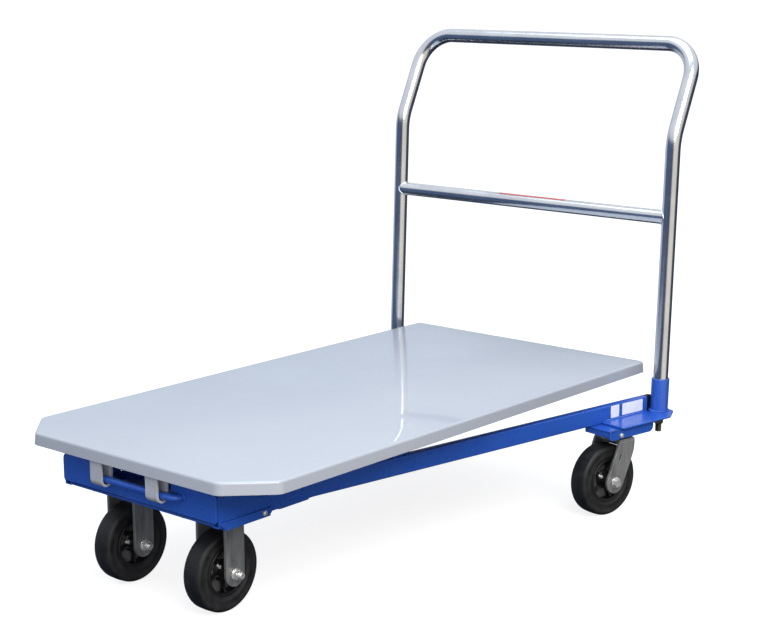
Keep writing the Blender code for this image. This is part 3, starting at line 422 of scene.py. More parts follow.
def shell(rings, **ends):
    """A new mesh from rings."""
    bm = bmesh.new()
    skin(bm, rings, **ends)
    return bm


def prism(outline, low, high, axis="Z"):
    def lift(p, h):
        return {"X": (h, p[0], p[1]), "Y": (p[0], h, p[1]), "Z": (p[0], p[1], h)}[axis]
    return shell([[lift(p, h) for p in outline] for h in (low, high)], caps=True)


def block(low, high):
    (x0, y0, z0), (x1, y1, z1) = low, high
    return prism([(x0, y0), (x1, y0), (x1, y1), (x0, y1)], z0, z1)


def turned(profile, sides=96, axis="X", closed=True):
    """A body of revolution from (radius, height) points; open profiles get flat ends."""
    def spun(r, h, a):
        if axis == "X":
            return (h, r * math.cos(a), r * math.sin(a))
        return (r * math.cos(a), r * math.sin(a), h)

    bm = bmesh.new()
    rows = skin(bm, [[spun(r, h, a) for r, h in profile] for a in circle(sides)], closed=True, wrap=closed)
    if not closed:
        bm.faces.new([row[0] for row in rows])
        bm.faces.new([row[-1] for row in rows])
    return bm


def frames_along(path):
    """Two directions across the path at each point, without twist."""
    last = len(path) - 1
    tangents = [(path[min(k + 1, last)] - path[max(k - 1, 0)]).normalized() for k in range(last + 1)]
    side = tangents[0].orthogonal().normalized()
    made = []
    for t in tangents:
        side = (side - t * side.dot(t)).normalized()
        made.append((side, t.cross(side)))
    return made


def round_bar(path, radius, sides=32, inner=0.0):
    """A bar or tube along a path; radius may be a function of the share of the way along."""
    frames = frames_along(path)

    def rings(size):
        made = []
        for k, (centre, (a, b)) in enumerate(zip(path, frames)):
            r = size(k / (len(path) - 1)) if callable(size) else size
            made.append([centre + (a * math.cos(t) + b * math.sin(t)) * r for t in circle(sides)])
        return made

    if inner:
        return shell(rings(radius) + rings(inner)[::-1], closed=True)
    return shell(rings(radius), caps=True)


def dense(path, spacing):
    """The same path with a point at least every spacing."""
    points = [path[0]]
    for a, b in zip(path, path[1:]):
        count = max(1, math.ceil((b - a).length / spacing))
        points += [a.lerp(b, i / count) for i in range(1, count + 1)]
    return points


def weld(name, points, radius, body="frame", slot="frame_paint", pitch=0.0022):
    """A rippled weld bead along points, thinner at both ends."""
    steps_per_ripple = 4
    path = dense([Vector(p) for p in points], pitch / steps_per_ripple)
    last = len(path) - 1

    def size(share):
        ripple = abs(math.sin(math.pi * (share * last) / steps_per_ripple))
        taper = min(1.0, 0.45 + 6 * min(share, 1 - share))
        return radius * taper * (0.82 + 0.22 * ripple)

    piece(name, round_bar(path, size, 10), body, slot, angle=60)


def hex_body(radius, low, high, hole=0.0, turn=0.0, chamfer_low=False, chamfer_high=True, sides=48):
    """A hexagon head or nut along X, of that radius over its corners, chamfered as by a cone."""
    sector = math.pi / 3
    flat = radius * math.cos(sector / 2)
    depth = (radius - flat) * 0.62
    cone = flat * 0.97

    def ring(cap, x):
        made = []
        for a in circle(sides):
            r = min(flat / math.cos((a - turn) % sector - sector / 2), cap)
            made.append((x, r * math.cos(a), r * math.sin(a)))
        return made

    rings = [ring(cone, low), ring(radius, low + depth)] if chamfer_low else [ring(radius, low)]
    rings += [ring(radius, high - depth), ring(cone, high)] if chamfer_high else [ring(radius, high)]
    if hole:
        rings += [ring(hole, high), ring(hole, low)]
    return shell(rings, closed=bool(hole), caps=not hole)


def threaded(radius, low, high, pitch=0.0016, tip=0.001):
    """(radius, height) points of a threaded shank, with a chamfered tip at the high end."""
    points = [(radius, low)]
    x = low
    while x + pitch < high - tip:
        points += [(radius, x + pitch * 0.15), (radius * 0.90, x + pitch * 0.5), (radius, x + pitch * 0.85)]
        x += pitch
    return points + [(radius, high - tip), (radius - tip, high)]


def washer(radius, width, x):
    """A washer along X from its low face at x, with softened outer corners."""
    soft, top = 0.0003, x + WASHER
    return turned([(radius - width, x), (radius - soft, x), (radius, x + soft), (radius, top - soft),
                   (radius - soft, top), (radius - width, top)], 48)


def mirrored(points, sign):
    return [(sign * p[0], p[1]) for p in points]


def shift(x, y, z):
    return Matrix.Translation((x, y, z))


def about(axis, angle):
    return Matrix.Rotation(angle, 4, axis)


# ---- Deck ----
def deck_ring(inset, height):
    """The deck's outline with rounded corners, moved inwards by inset."""
    half, front, rear = DECK_HALF - inset, DECK_FRONT + inset, DECK_REAR - inset
    cut = DECK_CHAMFER - inset * (2 - math.sqrt(2))
    corners = [(-half + cut, front), (half - cut, front), (half, front + cut), (half, rear), (-half, rear),
               (-half, front + cut)]
    radii = [DECK_FRONT_RADIUS] * 3 + [DECK_REAR_RADIUS] * 2 + [DECK_FRONT_RADIUS]
    return [(x, y, height) for x, y in rounded(corners, [r - inset for r in radii], 8)]


def deck_pan():
    """The folded sheet: a skirt that flares a little, a rounded edge and the flat top."""
    radius, steps = DECK_EDGE_RADIUS, 6
    inner = radius - DECK_SHEET
    rim, inner_rim = 0.0005, 0.0004
    quarter = [math.pi / 2 * i / steps for i in range(steps + 1)]
    inside = [deck_ring(DECK_SHEET + inner * (1 - math.cos(a)),
                        DECK_TOP - DECK_SHEET - inner * (1 - math.sin(a))) for a in quarter[::-1]]
    inside += [deck_ring(DECK_SHEET - DECK_FLARE, DECK_BOTTOM + inner_rim),
               deck_ring(DECK_SHEET - DECK_FLARE - inner_rim, DECK_BOTTOM)]
    outside = [deck_ring(rim - DECK_FLARE, DECK_BOTTOM), deck_ring(-DECK_FLARE, DECK_BOTTOM + rim)]
    outside += [deck_ring(radius * (1 - math.cos(a)), DECK_TOP - radius * (1 - math.sin(a))) for a in quarter]
    piece("deck_shell", shell(inside + outside, caps=True), "deck", "deck_paint", ["deck_pan"], angle=30)


def stiffener(side):
    """A channel under the deck, stitched to it with short welds down both sides."""
    name = f"deck_stiffener_{side}"
    low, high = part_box(name)
    x0, x1, z0, z1 = low.x, high.x, low.z, high.z
    wall, bend = 0.0025, 0.005
    section = rounded([(x0, z1), (x0, z0), (x1, z0), (x1, z1), (x1 - wall, z1), (x1 - wall, z0 + wall),
                       (x0 + wall, z0 + wall), (x0 + wall, z1)],
                      [0, bend, bend, 0, 0, bend - wall, bend - wall, 0], 4)
    piece(f"deck_channel_{side}", prism(section, low.y, high.y, "Y"), "deck", "deck_paint", [name],
          bevel=0.0004, segments=2)
    stitches, length, z = 9, 0.03, z1 - 0.0012
    for k in range(stitches):
        y = low.y + length + k * (high.y - low.y - 3 * length) / (stitches - 1)
        for x, tag in ((x0, "a"), (x1, "b")):
            weld(f"channel_weld_{side}_{tag}_{k}", [(x, y, z), (x, y + length, z)], 0.0016, "deck",
                 "deck_paint")


def hook(side):
    """A strap that goes down in front of the rod, round below it and up behind it."""
    name = f"hinge_hook_{side}"
    low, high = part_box(name)
    outer = HOOK_INNER + HOOK_STRAP
    sides = []
    for radius in (outer, HOOK_INNER):
        turn = [math.pi + math.pi * i / 24 for i in range(25)]
        sides.append([(HINGE_Y - radius, high.z)]
                     + [(HINGE_Y + radius * math.cos(a), HINGE_Z + radius * math.sin(a)) for a in turn]
                     + [(HINGE_Y + radius, HOOK_BACK_TOP)])
    piece(f"deck_hook_{side}", prism(sides[0] + sides[1][::-1], low.x, high.x, "X"), "deck", "hook_paint",
          [name], bevel=0.0008)
    y = HINGE_Y - outer + 0.0008
    for x, tag in ((low.x, "a"), (high.x, "b")):
        weld(f"hook_weld_{side}_{tag}", [(x, y, DECK_BOTTOM + 0.001), (x, y, high.z - 0.002)], 0.0016, "deck",
             "hook_paint")


def make_deck():
    deck_pan()
    for side in SIDES:
        stiffener(side)
        hook(side)


# ---- Frame ----
def rail_point(y, offset):
    """A point beside the right rail: offset is how far it lies outside the rail's outer face."""
    x = RAIL_FRONT_X + (y - RAIL_KINK_Y) * math.tan(RAIL_SPLAY) + offset * math.cos(RAIL_SPLAY)
    return Vector((x, y - offset * math.sin(RAIL_SPLAY)))


def rail(side, sign):
    """A square tube, taller at the front, with its black end stop."""
    def straight(y):
        return lambda offset: (RAIL_FRONT_X + offset, y)

    def kink(offset):
        return RAIL_FRONT_X + offset, RAIL_KINK_Y - offset * math.tan(RAIL_SPLAY / 2)

    def end(offset):
        return rail_point(RAIL_END_Y, offset)

    def ring(inset, radius, place, high):
        a, b = -inset, -(RAIL_WIDTH - inset)
        low, high = RAIL_LOW + inset, high - inset
        made = []
        for offset, z in rounded([(a, low), (a, high), (b, high), (b, low)], radius, 5):
            x, y = place(offset)
            made.append((sign * x, y, z))
        return made

    shoulder, slope_end = RAIL_SHOULDER_Y
    places = ((straight(PLATE_BACK + 0.0003), RAIL_SHOULDER_HIGH), (straight(shoulder), RAIL_SHOULDER_HIGH),
              (straight(slope_end), RAIL_HIGH), (kink, RAIL_HIGH), (end, RAIL_HIGH))
    outer = [ring(0.0, 0.0028, place, high) for place, high in places]
    inner = [ring(RAIL_WALL, 0.0008, place, high) for place, high in places[::-1]]
    blue_piece(f"rail_tube_{side}", shell(outer + inner, closed=True), [f"rail_{side}"], angle=30)
    near, far, outside, inside = RAIL_END_Y + 0.0003, RAIL_END_Y + 0.0225, -0.0065, -0.0175
    outline = mirrored([rail_point(near, outside), rail_point(far, outside - 0.002), rail_point(far, inside),
                        rail_point(near, inside)], sign)
    stop = prism(rounded(outline, 0.0015, 4), RAIL_LOW + 0.0005, RAIL_HIGH - 0.0005)
    piece(f"rail_stop_{side}", stop, "frame", "black_rubber", [f"rail_bumper_{side}"], bevel=0.0008)


def front_plate():
    half, low, high = PLATE_HALF, PLATE_LOW, PLATE_HIGH
    corners = [(-half, low), (half, low), (half, high), (NOTCH_HALF, high), (NOTCH_HALF, NOTCH_LOW),
               (-NOTCH_HALF, NOTCH_LOW), (-NOTCH_HALF, high), (-half, high)]
    outline = rounded(corners, [0.006, 0.006, 0.012, 0.002, 0.004, 0.004, 0.002, 0.012], 8)
    plate = prism(outline, PLATE_FRONT, PLATE_BACK, "Y")
    blue_piece("front_cross_plate", plate, ["front_plate"], bevel=0.0007)


def hinge_rod():
    y = PLATE_FRONT - 0.0003
    corners = [(ROD_LEFT, y, HINGE_Z), (ROD_LEFT, HINGE_Y, HINGE_Z), (ROD_RIGHT, HINGE_Y, HINGE_Z),
               (ROD_RIGHT, y, HINGE_Z)]
    blue_piece("hinge_rod_bar", round_bar(bent_path(corners, [ROD_BEND] * 2, 14), ROD_RADIUS, 36),
               ["hinge_rod"], angle=50)
    reach = 0.0070
    for x, tag in ((ROD_LEFT, "left"), (ROD_RIGHT, "right")):
        most_of_a_turn = [math.radians(-60 + 24 * i) for i in range(16)]
        weld(f"rod_weld_{tag}", [(x + reach * math.cos(a), y - 0.0006, HINGE_Z + reach * math.sin(a))
                                 for a in most_of_a_turn], 0.0018)
    y, z = HINGE_Y + 0.0055, HINGE_Z + 0.0042
    for start, end, tag in ((0.0935, 0.1035, "a"), (0.1065, 0.1165, "b")):
        weld(f"rod_tack_weld_{tag}", [(start, y, z), (end, y, z)], 0.0026, pitch=0.0034)


def axle_plate():
    """The folded plate over the front wheels: bed, rear lip and a flange at each end."""
    reach, rise, flange = AXLE_REACH, AXLE_RISE, 0.004
    front, rear = AXLE_FRONT, AXLE_REAR
    bed = block((-reach + 0.0004, front, MOUNT_LOW), (reach - 0.0004, rear, MOUNT_HIGH))
    blue_piece("front_axle_bed", bed, ["front_axle_plate"], bevel=0.0006)
    lip = block((-AXLE_LIP_HALF, rear - 0.0035, MOUNT_LOW), (AXLE_LIP_HALF, rear + 0.0008, rise - 0.003))
    blue_piece("front_axle_lip", lip, bevel=0.0012, segments=4)
    outline = rounded([(front, MOUNT_LOW), (rear - 0.004, MOUNT_LOW), (rear + 0.0035, MOUNT_LOW + 0.007),
                       (rear + 0.0045, rise), (front - 0.0110, rise), (front - 0.0105, MOUNT_LOW + 0.011)],
                      [0.003, 0.004, 0.003, 0.001, 0.001, 0.004], 4)
    for side, sign in SIDES.items():
        span = sorted((sign * (reach - flange), sign * reach))
        blue_piece(f"axle_bed_flange_{side}", prism(outline, *span, "X"), bevel=0.0007)


def make_frame():
    front_plate()
    hinge_rod()
    axle_plate()
    for side, sign in SIDES.items():
        rail(side, sign)
    low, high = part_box("kink_cross_plate")
    tie = prism(rounded_box(low.x, low.y, high.x, high.y, 0.006, 5), low.z, high.z)
    blue_piece("kink_cross_tie", tie, ["kink_cross_plate"], bevel=0.0007)
    low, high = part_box("deck_rest_bar")
    beam = prism(rounded_box(low.y, low.z, high.y, high.z, 0.003, 5), low.x, high.x, "X")
    blue_piece("deck_rest_beam", beam, ["deck_rest_bar"], bevel=0.0005)
    low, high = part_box("deck_rest_pad")
    pad = prism(rounded_box(low.x, low.y, high.x, high.y, 0.004, 5), low.z, high.z)
    piece("deck_rest_cushion", pad, "frame", "black_rubber", ["deck_rest_pad"], bevel=0.0012)


# ---- Rear corners ----
def leg_y(z):
    """Where the handle's leaning leg is at a height."""
    return HANDLE_FOOT_Y + HANDLE_LEAN * (z - SOCKET_TOP)


def beside_rail(sign):
    """The place over one kingpin, turned with its rail."""
    return shift(sign * KINGPIN_X, KINGPIN_Y, 0.0) @ about("Z", -sign * RAIL_SPLAY)


def socket(side, sign):
    def ring(radius, z, angles):
        centre = Vector((sign * HANDLE_X, leg_y(z), z))
        return [centre + Vector((math.cos(a), math.sin(a), 0.0)) * radius for a in angles]

    inner = HANDLE_RADIUS + 0.0003
    levels = [(SOCKET_RADIUS, SOCKET_LOW), (SOCKET_RADIUS, SOCKET_TOP - 0.0012),
              (SOCKET_RADIUS - 0.0003, SOCKET_TOP - 0.0004), (SOCKET_RADIUS - 0.001, SOCKET_TOP),
              (inner + 0.0005, SOCKET_TOP), (inner, SOCKET_TOP - 0.0006), (inner, SOCKET_LOW)]
    collar = shell([ring(radius, z, circle(56)) for radius, z in levels], closed=True)
    blue_piece(f"handle_collar_{side}", collar, [f"handle_socket_{side}"], angle=40)
    foot = ring(SOCKET_RADIUS + 0.0006, SOCKET_LOW, circle(36))
    weld(f"collar_weld_{side}", [p + Vector((0.0, 0.0, 0.0006)) for p in foot], 0.0024)


def socket_plate(side, sign):
    """The ledge between the rail and the handle's socket."""
    name = f"socket_plate_{side}"
    low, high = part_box(name)
    front, inner, outer = 0.372, 0.0003, 0.0616
    stop_end = RAIL_END_Y + 0.0262
    corners = [rail_point(front, inner), rail_point(front, outer), rail_point(0.5180, outer),
               Vector((0.3920, high.y)), Vector((0.3400, high.y)), Vector((0.3390, stop_end)),
               rail_point(stop_end, inner)]
    outline = mirrored(rounded(corners, [0.0, 0.008, 0.012, 0.012, 0.006, 0.0, 0.0], 8), sign)
    blue_piece(f"socket_ledge_{side}", prism(outline, low.z, high.z), [name], bevel=0.0020, segments=4)
    ends = mirrored([rail_point(front + 0.005, 0.0010), rail_point(RAIL_END_Y - 0.004, 0.0010)], sign)
    weld(f"ledge_weld_{side}", [(x, y, high.z + 0.0006) for x, y in ends], 0.0024)


def tray(side, sign):
    """The folded tray over one rear caster: bed, outer, inner and front flange."""
    place = beside_rail(sign)
    half, front, rear, sheet = TRAY_HALF, TRAY_FRONT, TRAY_REAR, TRAY_SHEET
    inner_start, reach, inner_low = -0.025, 0.030, 0.1765
    plan = mirrored([(half, front), (half, rear), (-half, rear), (-half, inner_start), (-reach, front)], sign)
    blue_piece(f"caster_tray_web_{side}", prism(plan, MOUNT_LOW, MOUNT_HIGH), [f"rear_caster_tray_{side}"],
               bevel=0.0008, place=place)
    outer = rounded_box(front, TRAY_LOW, rear, MOUNT_HIGH, [0.008, 0.012, 0.001, 0.001], 8)
    inner = rounded_box(inner_start, inner_low, rear, MOUNT_HIGH, [0.003, 0.003, 0.001, 0.001], 5)
    for tag, outline, way in (("outer", outer, sign), ("inner", inner, -sign)):
        span = sorted((way * half, way * (half - sheet)))
        blue_piece(f"caster_tray_{tag}_{side}", prism(outline, *span, "X"), bevel=0.0009, place=place)
    low, high = sorted((-sign * reach, sign * (half - 0.001)))
    flange = block((low, front, inner_low + 0.0001), (high, front + sheet, MOUNT_HIGH - 0.0003))
    blue_piece(f"caster_tray_front_{side}", flange, bevel=0.0009, place=place)


def handle_bolt(side, sign):
    """The bolt that holds a leg in its socket, with washer and nut below the ledge; its X points down."""
    place = shift(sign * HANDLE_X, leg_y(SOCKET_LOW), 0.0) @ about("Y", -math.pi / 2)
    top = RAIL_LOW - 0.0006
    shank, thread, head_end, tip = 0.0066, 0.0068, 0.235, 0.149
    profile = [(shank, head_end), (shank, top)] + [(r, -h) for r, h in threaded(thread, -top, -tip)]
    piece(f"handle_bolt_shank_{side}", turned(profile, 36, closed=False), "frame", "zinc_hardware",
          [f"handle_bolt_{side}"], DULL, place=place, angle=25)
    piece(f"handle_bolt_washer_{side}", washer(0.0105, 0.0036, top - WASHER), "frame", "zinc_hardware",
          place=place)
    nut = hex_body(0.0100, 0.1662, top - 0.0018, thread + 0.0001, chamfer_low=True)
    piece(f"handle_bolt_nut_{side}", nut, "frame", "zinc_hardware", material=DULL, place=place, angle=25)


def make_rear_corners():
    for side, sign in SIDES.items():
        socket(side, sign)
        socket_plate(side, sign)
        tray(side, sign)
        handle_bolt(side, sign)


# ---- Handle ----
def make_handle():
    foot = SOCKET_LOW + 0.004
    half = [(HANDLE_X, leg_y(foot), foot), (HANDLE_X, leg_y(HANDLE_BEND_Z), HANDLE_BEND_Z),
            (HANDLE_X, HANDLE_TOP_Y, HANDLE_TOP_Z)]
    corners = [(-x, y, z) for x, y, z in half] + half[::-1]
    path = bent_path(corners, [HANDLE_ELBOW, HANDLE_CORNER, HANDLE_CORNER, HANDLE_ELBOW], 22)
    piece("push_handle_tube", round_bar(path, HANDLE_RADIUS, 56, HANDLE_RADIUS - TUBE_WALL), "frame",
          "handle_chrome", ["push_handle"], angle=60)
    crossbar()


def crossbar():
    """The bar between the legs, its ends cut to fit round them, with welds and a plain red strip."""
    centre = leg_y(CROSSBAR_Z)

    def ring(radius, sign, inwards=0.0):
        made = []
        for a in circle(64):
            dy, dz = radius * math.cos(a), radius * math.sin(a)
            reach = HANDLE_X - math.sqrt((HANDLE_RADIUS + 0.0003) ** 2 - (dy - HANDLE_LEAN * dz) ** 2)
            made.append(Vector((sign * (reach - inwards), centre + dy, CROSSBAR_Z + dz)))
        return made

    outer, inner = CROSSBAR_RADIUS, CROSSBAR_RADIUS - TUBE_WALL
    tube = shell([ring(outer, -1), ring(outer, 1), ring(inner, 1), ring(inner, -1)], closed=True)
    piece("handle_crossbar_tube", tube, "frame", "handle_chrome", ["handle_crossbar"], angle=60)
    for side, sign in SIDES.items():
        points = ring(outer + 0.0004, sign, 0.0004)
        weld(f"crossbar_weld_{side}", points + points[:1], 0.0017, slot="handle_chrome")
    strip_angles = [math.radians(50 + 68 * i / 8) for i in range(9)]
    section = [(outer + lift, a) for lift, angles in ((0.00005, strip_angles), (0.0002, strip_angles[::-1]))
               for a in angles]
    strip = shell([[(x, centre + r * math.cos(a), CROSSBAR_Z + r * math.sin(a)) for r, a in section]
                   for x in (-0.075, 0.105)], caps=True)
    piece("crossbar_strip", strip, "frame", material=RED)


# ---- Wheels ----
def tyre(name, place, body):
    """A tread with round shoulders and a sidewall with a shallow groove and a ridge."""
    half, radius, shoulder = TYRE_HALF, WHEEL_RADIUS, 0.008
    side = [(radius, 0.0), (radius - 0.0001, 0.004)]
    for a in (math.pi / 2 * i / 8 for i in range(9)):
        side.append((radius - 0.0006 - shoulder * (1 - math.cos(a)),
                     half - shoulder + shoulder * math.sin(a)))
    side += [(0.0655, half - 0.0001), (0.0640, half - 0.0006), (0.0625, half - 0.0007),
             (0.0560, half - 0.0006), (0.0545, half - 0.0002), (0.0530, half - 0.0002),
             (0.0520, half - 0.0007), (0.0500, half - 0.0016), (CORE_RADIUS + 0.0003, half - 0.0030)]
    profile = side + [(r, -x) for r, x in side[1:]][::-1]
    piece(f"{name}_tread", turned(profile, 128), body, "tyre_rubber", [f"{name}_tyre"], place=place, angle=24)


def spoke(bm, out, across):
    """A rib that joins hub and rim, wider and deeper at both ends, on a thin foot."""
    start, end, steps = 0.0175, CORE_RADIUS - 0.0050, 8
    thin, foot, crest = 0.0016, 0.0022, 0.0018
    rings = []
    for i in range(steps + 1):
        share = i / steps
        flare = abs(2 * share - 1) ** 2.5
        width, deep = 0.0042 + 0.0022 * flare, 0.0090 + 0.0035 * flare
        half = [(-width, thin), (-foot, thin + 0.0006), (-crest, deep), (crest, deep), (foot, thin + 0.0006),
                (width, thin)]
        profile = [(-width, -thin)] + half + [(a, -x) for a, x in half[:0:-1]]
        rings.append([out * (start + share * (end - start)) + across * a + Vector((x, 0.0, 0.0))
                      for a, x in profile])
    skin(bm, rings, caps=True)


def core(name, place, body, turn):
    """A cast wheel centre: rim, hub, five ribs and a thin web between them, whose grey is painted shade
    standing for the floor seen through the openings.
    """
    rim_half, ridge = TYRE_HALF - 0.0032, TYRE_HALF - 0.0026
    face = [(CORE_RADIUS, rim_half), (CORE_RADIUS - 0.0008, ridge), (CORE_RADIUS - 0.0042, ridge),
            (CORE_RADIUS - 0.0050, rim_half), (CORE_RADIUS - 0.0062, 0.004)]
    rim = face + [(r, -x) for r, x in face[::-1]]
    piece(f"{name}_rim", turned(rim, 112), body, "wheel_iron", [f"{name}_wheel_core"], place=place, angle=28)
    bore = SLEEVE_RADIUS + 0.0001
    face = [(0.0200, 0.0035), (0.0168, 0.008), (0.0155, HUB_HALF - 0.001), (0.0145, HUB_HALF),
            (bore, HUB_HALF)]
    hub = [(r, -x) for r, x in face[::-1]] + face
    piece(f"{name}_hub", turned(hub, 72), body, "wheel_iron", place=place, angle=28)
    bm = bmesh.new()
    for k in range(5):
        middle = turn - math.pi / 2 + 2 * math.pi * k / 5
        spoke(bm, Vector((0.0, math.cos(middle), math.sin(middle))),
              Vector((0.0, -math.sin(middle), math.cos(middle))))
    piece(f"{name}_spokes", bm, body, "wheel_iron", bevel=0.0005, segments=2, place=place)
    # the web's grey is painted shade for the floor seen through the openings
    inner, middle, outer = 0.0180, 0.0300, CORE_RADIUS - 0.0060
    web = [(inner, -0.0012), (inner, 0.0012), (middle, 0.0010), (outer, 0.0014), (outer, -0.0014),
           (middle, -0.0010)]
    piece(f"{name}_web", turned(web, 72), body, "wheel_iron", material=FLOOR_SHADE_WEB, place=place, angle=40)


def grease_nipple(name, place, body, angle):
    """A nipple screwed into the hub, pointing outwards."""
    out = about("X", angle) @ about("Z", math.pi / 2)
    local = place @ shift(0.0115, 0.0, 0.0) @ out
    foot = hex_body(0.0044, 0.0150, 0.0195)
    piece(f"{name}_nipple_hex", foot, body, "zinc_hardware", place=local, angle=25)
    tip = [(0.0030, 0.0195), (0.0026, 0.0215), (0.0017, 0.0222), (0.0017, 0.0232), (0.0027, 0.0240),
           (0.0029, 0.0248), (0.0023, 0.0256), (0.0012, 0.0262)]
    piece(f"{name}_nipple_tip", turned(tip, 24, closed=False), body, "zinc_hardware", place=local, angle=40)


def axle(name, place, body, head_sign):
    """Washers, bolt and nut outside the fork, and the sleeve between its legs."""
    flip = place if head_sign > 0 else place @ about("Z", math.pi)
    seat = FORK_HALF + 0.0003
    for at, tag in ((seat, "head"), (-seat - WASHER, "nut")):
        piece(f"{name}_axle_washer_{tag}", washer(0.0118, 0.0052, at), body, "zinc_hardware", place=flip)
    head = hex_body(HEX_RADIUS, seat + WASHER, seat + 0.0080, turn=0.2)
    piece(f"{name}_axle_head", head, body, "zinc_hardware", [f"{name}_axle_bolt"], place=flip, angle=25)
    thread = threaded(AXLE_RADIUS, seat, FORK_HALF + 0.0175)
    shank = [(r, -x) for r, x in thread[::-1]] + [(AXLE_RADIUS, seat)]
    piece(f"{name}_axle_shank", turned(shank, 40, closed=False), body, "zinc_hardware", place=flip, angle=20)
    nut = hex_body(HEX_RADIUS, -seat - 0.0100, -seat - WASHER, AXLE_RADIUS + 0.0002, turn=0.45,
                   chamfer_low=True, chamfer_high=False)
    piece(f"{name}_axle_nut_hex", nut, body, "zinc_hardware", [f"{name}_axle_nut"], place=flip, angle=25)
    half, bore = FORK_HALF - FORK_LEG - 0.0003, AXLE_RADIUS + 0.00025
    sleeve = [(SLEEVE_RADIUS, -half), (SLEEVE_RADIUS, half), (bore, half), (bore, -half)]
    piece(f"{name}_axle_bush", turned(sleeve, 48), body, "zinc_hardware", [f"{name}_axle_sleeve"],
          place=place, angle=30)


def wheel(name, place, fixed_body, head_sign, turn, nipple):
    """A wheel that spins on its own body; head_sign says which side the axle's head is on."""
    spin = f"{name}_wheel"
    tyre(name, place, spin)
    core(name, place, spin, turn)
    grease_nipple(name, place, spin, nipple)
    axle(name, place, fixed_body, head_sign)


# ---- Casters ----
def foot_arc(centre_y, centre_z, radius, first, last, steps=28):
    """(y, z) points round a leg's foot."""
    angles = [first + (last - first) * i / steps for i in range(steps + 1)]
    return [(centre_y + radius * math.cos(a), centre_z + radius * math.sin(a)) for a in angles]


def leg_span(leg):
    return sorted((leg * FORK_HALF, leg * (FORK_HALF - FORK_LEG)))


def top_plate(name, half, length, top, node, place):
    plate = prism(rounded_box(-half, -length, half, length, 0.008, 6), top - CASTER_PLATE, top)
    piece(f"{name}_top_plate", plate, "frame", "caster_steel", [node], bevel=0.0007, place=place)


def front_caster(side, sign):
    """A rigid caster: plate, two straight legs with round feet, and four nuts on the plate."""
    name = f"front_{side}"
    place = shift(sign * FRONT_WHEEL_X, FRONT_WHEEL_Y, WHEEL_RADIUS)
    top = CASTER_TOP - WHEEL_RADIUS
    low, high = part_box(f"{name}_fork")
    top_plate(name, (high.x - low.x) / 2, (high.y - low.y) / 2, top, f"{name}_fork", place)
    half = 0.023
    outline = [(half, top - 0.003)] + foot_arc(0.0, 0.0, half, 0.0, -math.pi) + [(-half, top - 0.003)]
    for leg_name, leg in SIDES.items():
        piece(f"{name}_leg_{leg_name}", prism(outline, *leg_span(leg), "X"), "frame", "caster_steel",
              bevel=0.0008, place=place)
        x, y, z = leg * (FORK_HALF + 0.0006), half - 0.002, top - 0.0042
        weld(f"{name}_leg_weld_{leg_name}", [place @ Vector((x, -y, z)), place @ Vector((x, y, z))], 0.0020,
             slot="caster_steel")
    for x, y, tag in ((-0.0405, -0.046, "lf"), (-0.0405, 0.046, "lb"), (0.0405, -0.046, "rf"),
                      (0.0405, 0.046, "rb")):
        nut = hex_body(0.0072, 0.0002, 0.0052, turn=0.3)
        spot = place @ shift(x, y, top - CASTER_PLATE) @ about("Y", math.pi / 2)
        blue_piece(f"{name}_mount_nut_{tag}", nut, place=spot, angle=25)
    wheel(name, place, "frame", -1, 0.0, math.radians(166 if sign < 0 else 141))


def swivel_leg():
    """A leg's outline in (y, z), swept back from the kingpin to the axle."""
    top, axle_y = 0.1600, -TRAIL
    return ([(axle_y + 0.0545, top), (axle_y + 0.0525, 0.140), (axle_y + 0.0440, 0.117)]
            + foot_arc(axle_y, WHEEL_RADIUS, 0.0235, math.radians(-20), math.radians(-200))
            + [(axle_y - 0.0125, 0.1050), (axle_y + 0.010, top)])


def leg_slot(leg):
    """The short slanted slot through one swivel leg."""
    lean, half_length, half_width = math.radians(20), 0.0065, 0.0022
    along = Vector((math.sin(lean), math.cos(lean)))
    across = Vector((along.y, -along.x))
    centre = Vector((-TRAIL + 0.0128, 0.128))
    corners = [centre + along * a * half_length + across * b * half_width
               for a, b in ((-1, -1), (-1, 1), (1, 1), (1, -1))]
    return prism(rounded(corners, 0.0020, 6), *sorted((leg * 0.02, leg * 0.05)), "X")


def carved(bm, cutter):
    """The first mesh with the second cut out of it."""
    steel = LOOKS["caster_steel"]
    body, tool = finish_mesh("carve_body", bm, steel), finish_mesh("carve_tool", cutter, steel)
    modifier = body.modifiers.new("carve", "BOOLEAN")
    modifier.operation = "DIFFERENCE"
    modifier.solver = "EXACT"
    modifier.object = tool
    made = bmesh.new()
    made.from_mesh(body.evaluated_get(bpy.context.evaluated_depsgraph_get()).to_mesh())
    for obj in (body, tool):
        mesh = obj.data
        bpy.data.objects.remove(obj)
        bpy.data.meshes.remove(mesh)
    return made


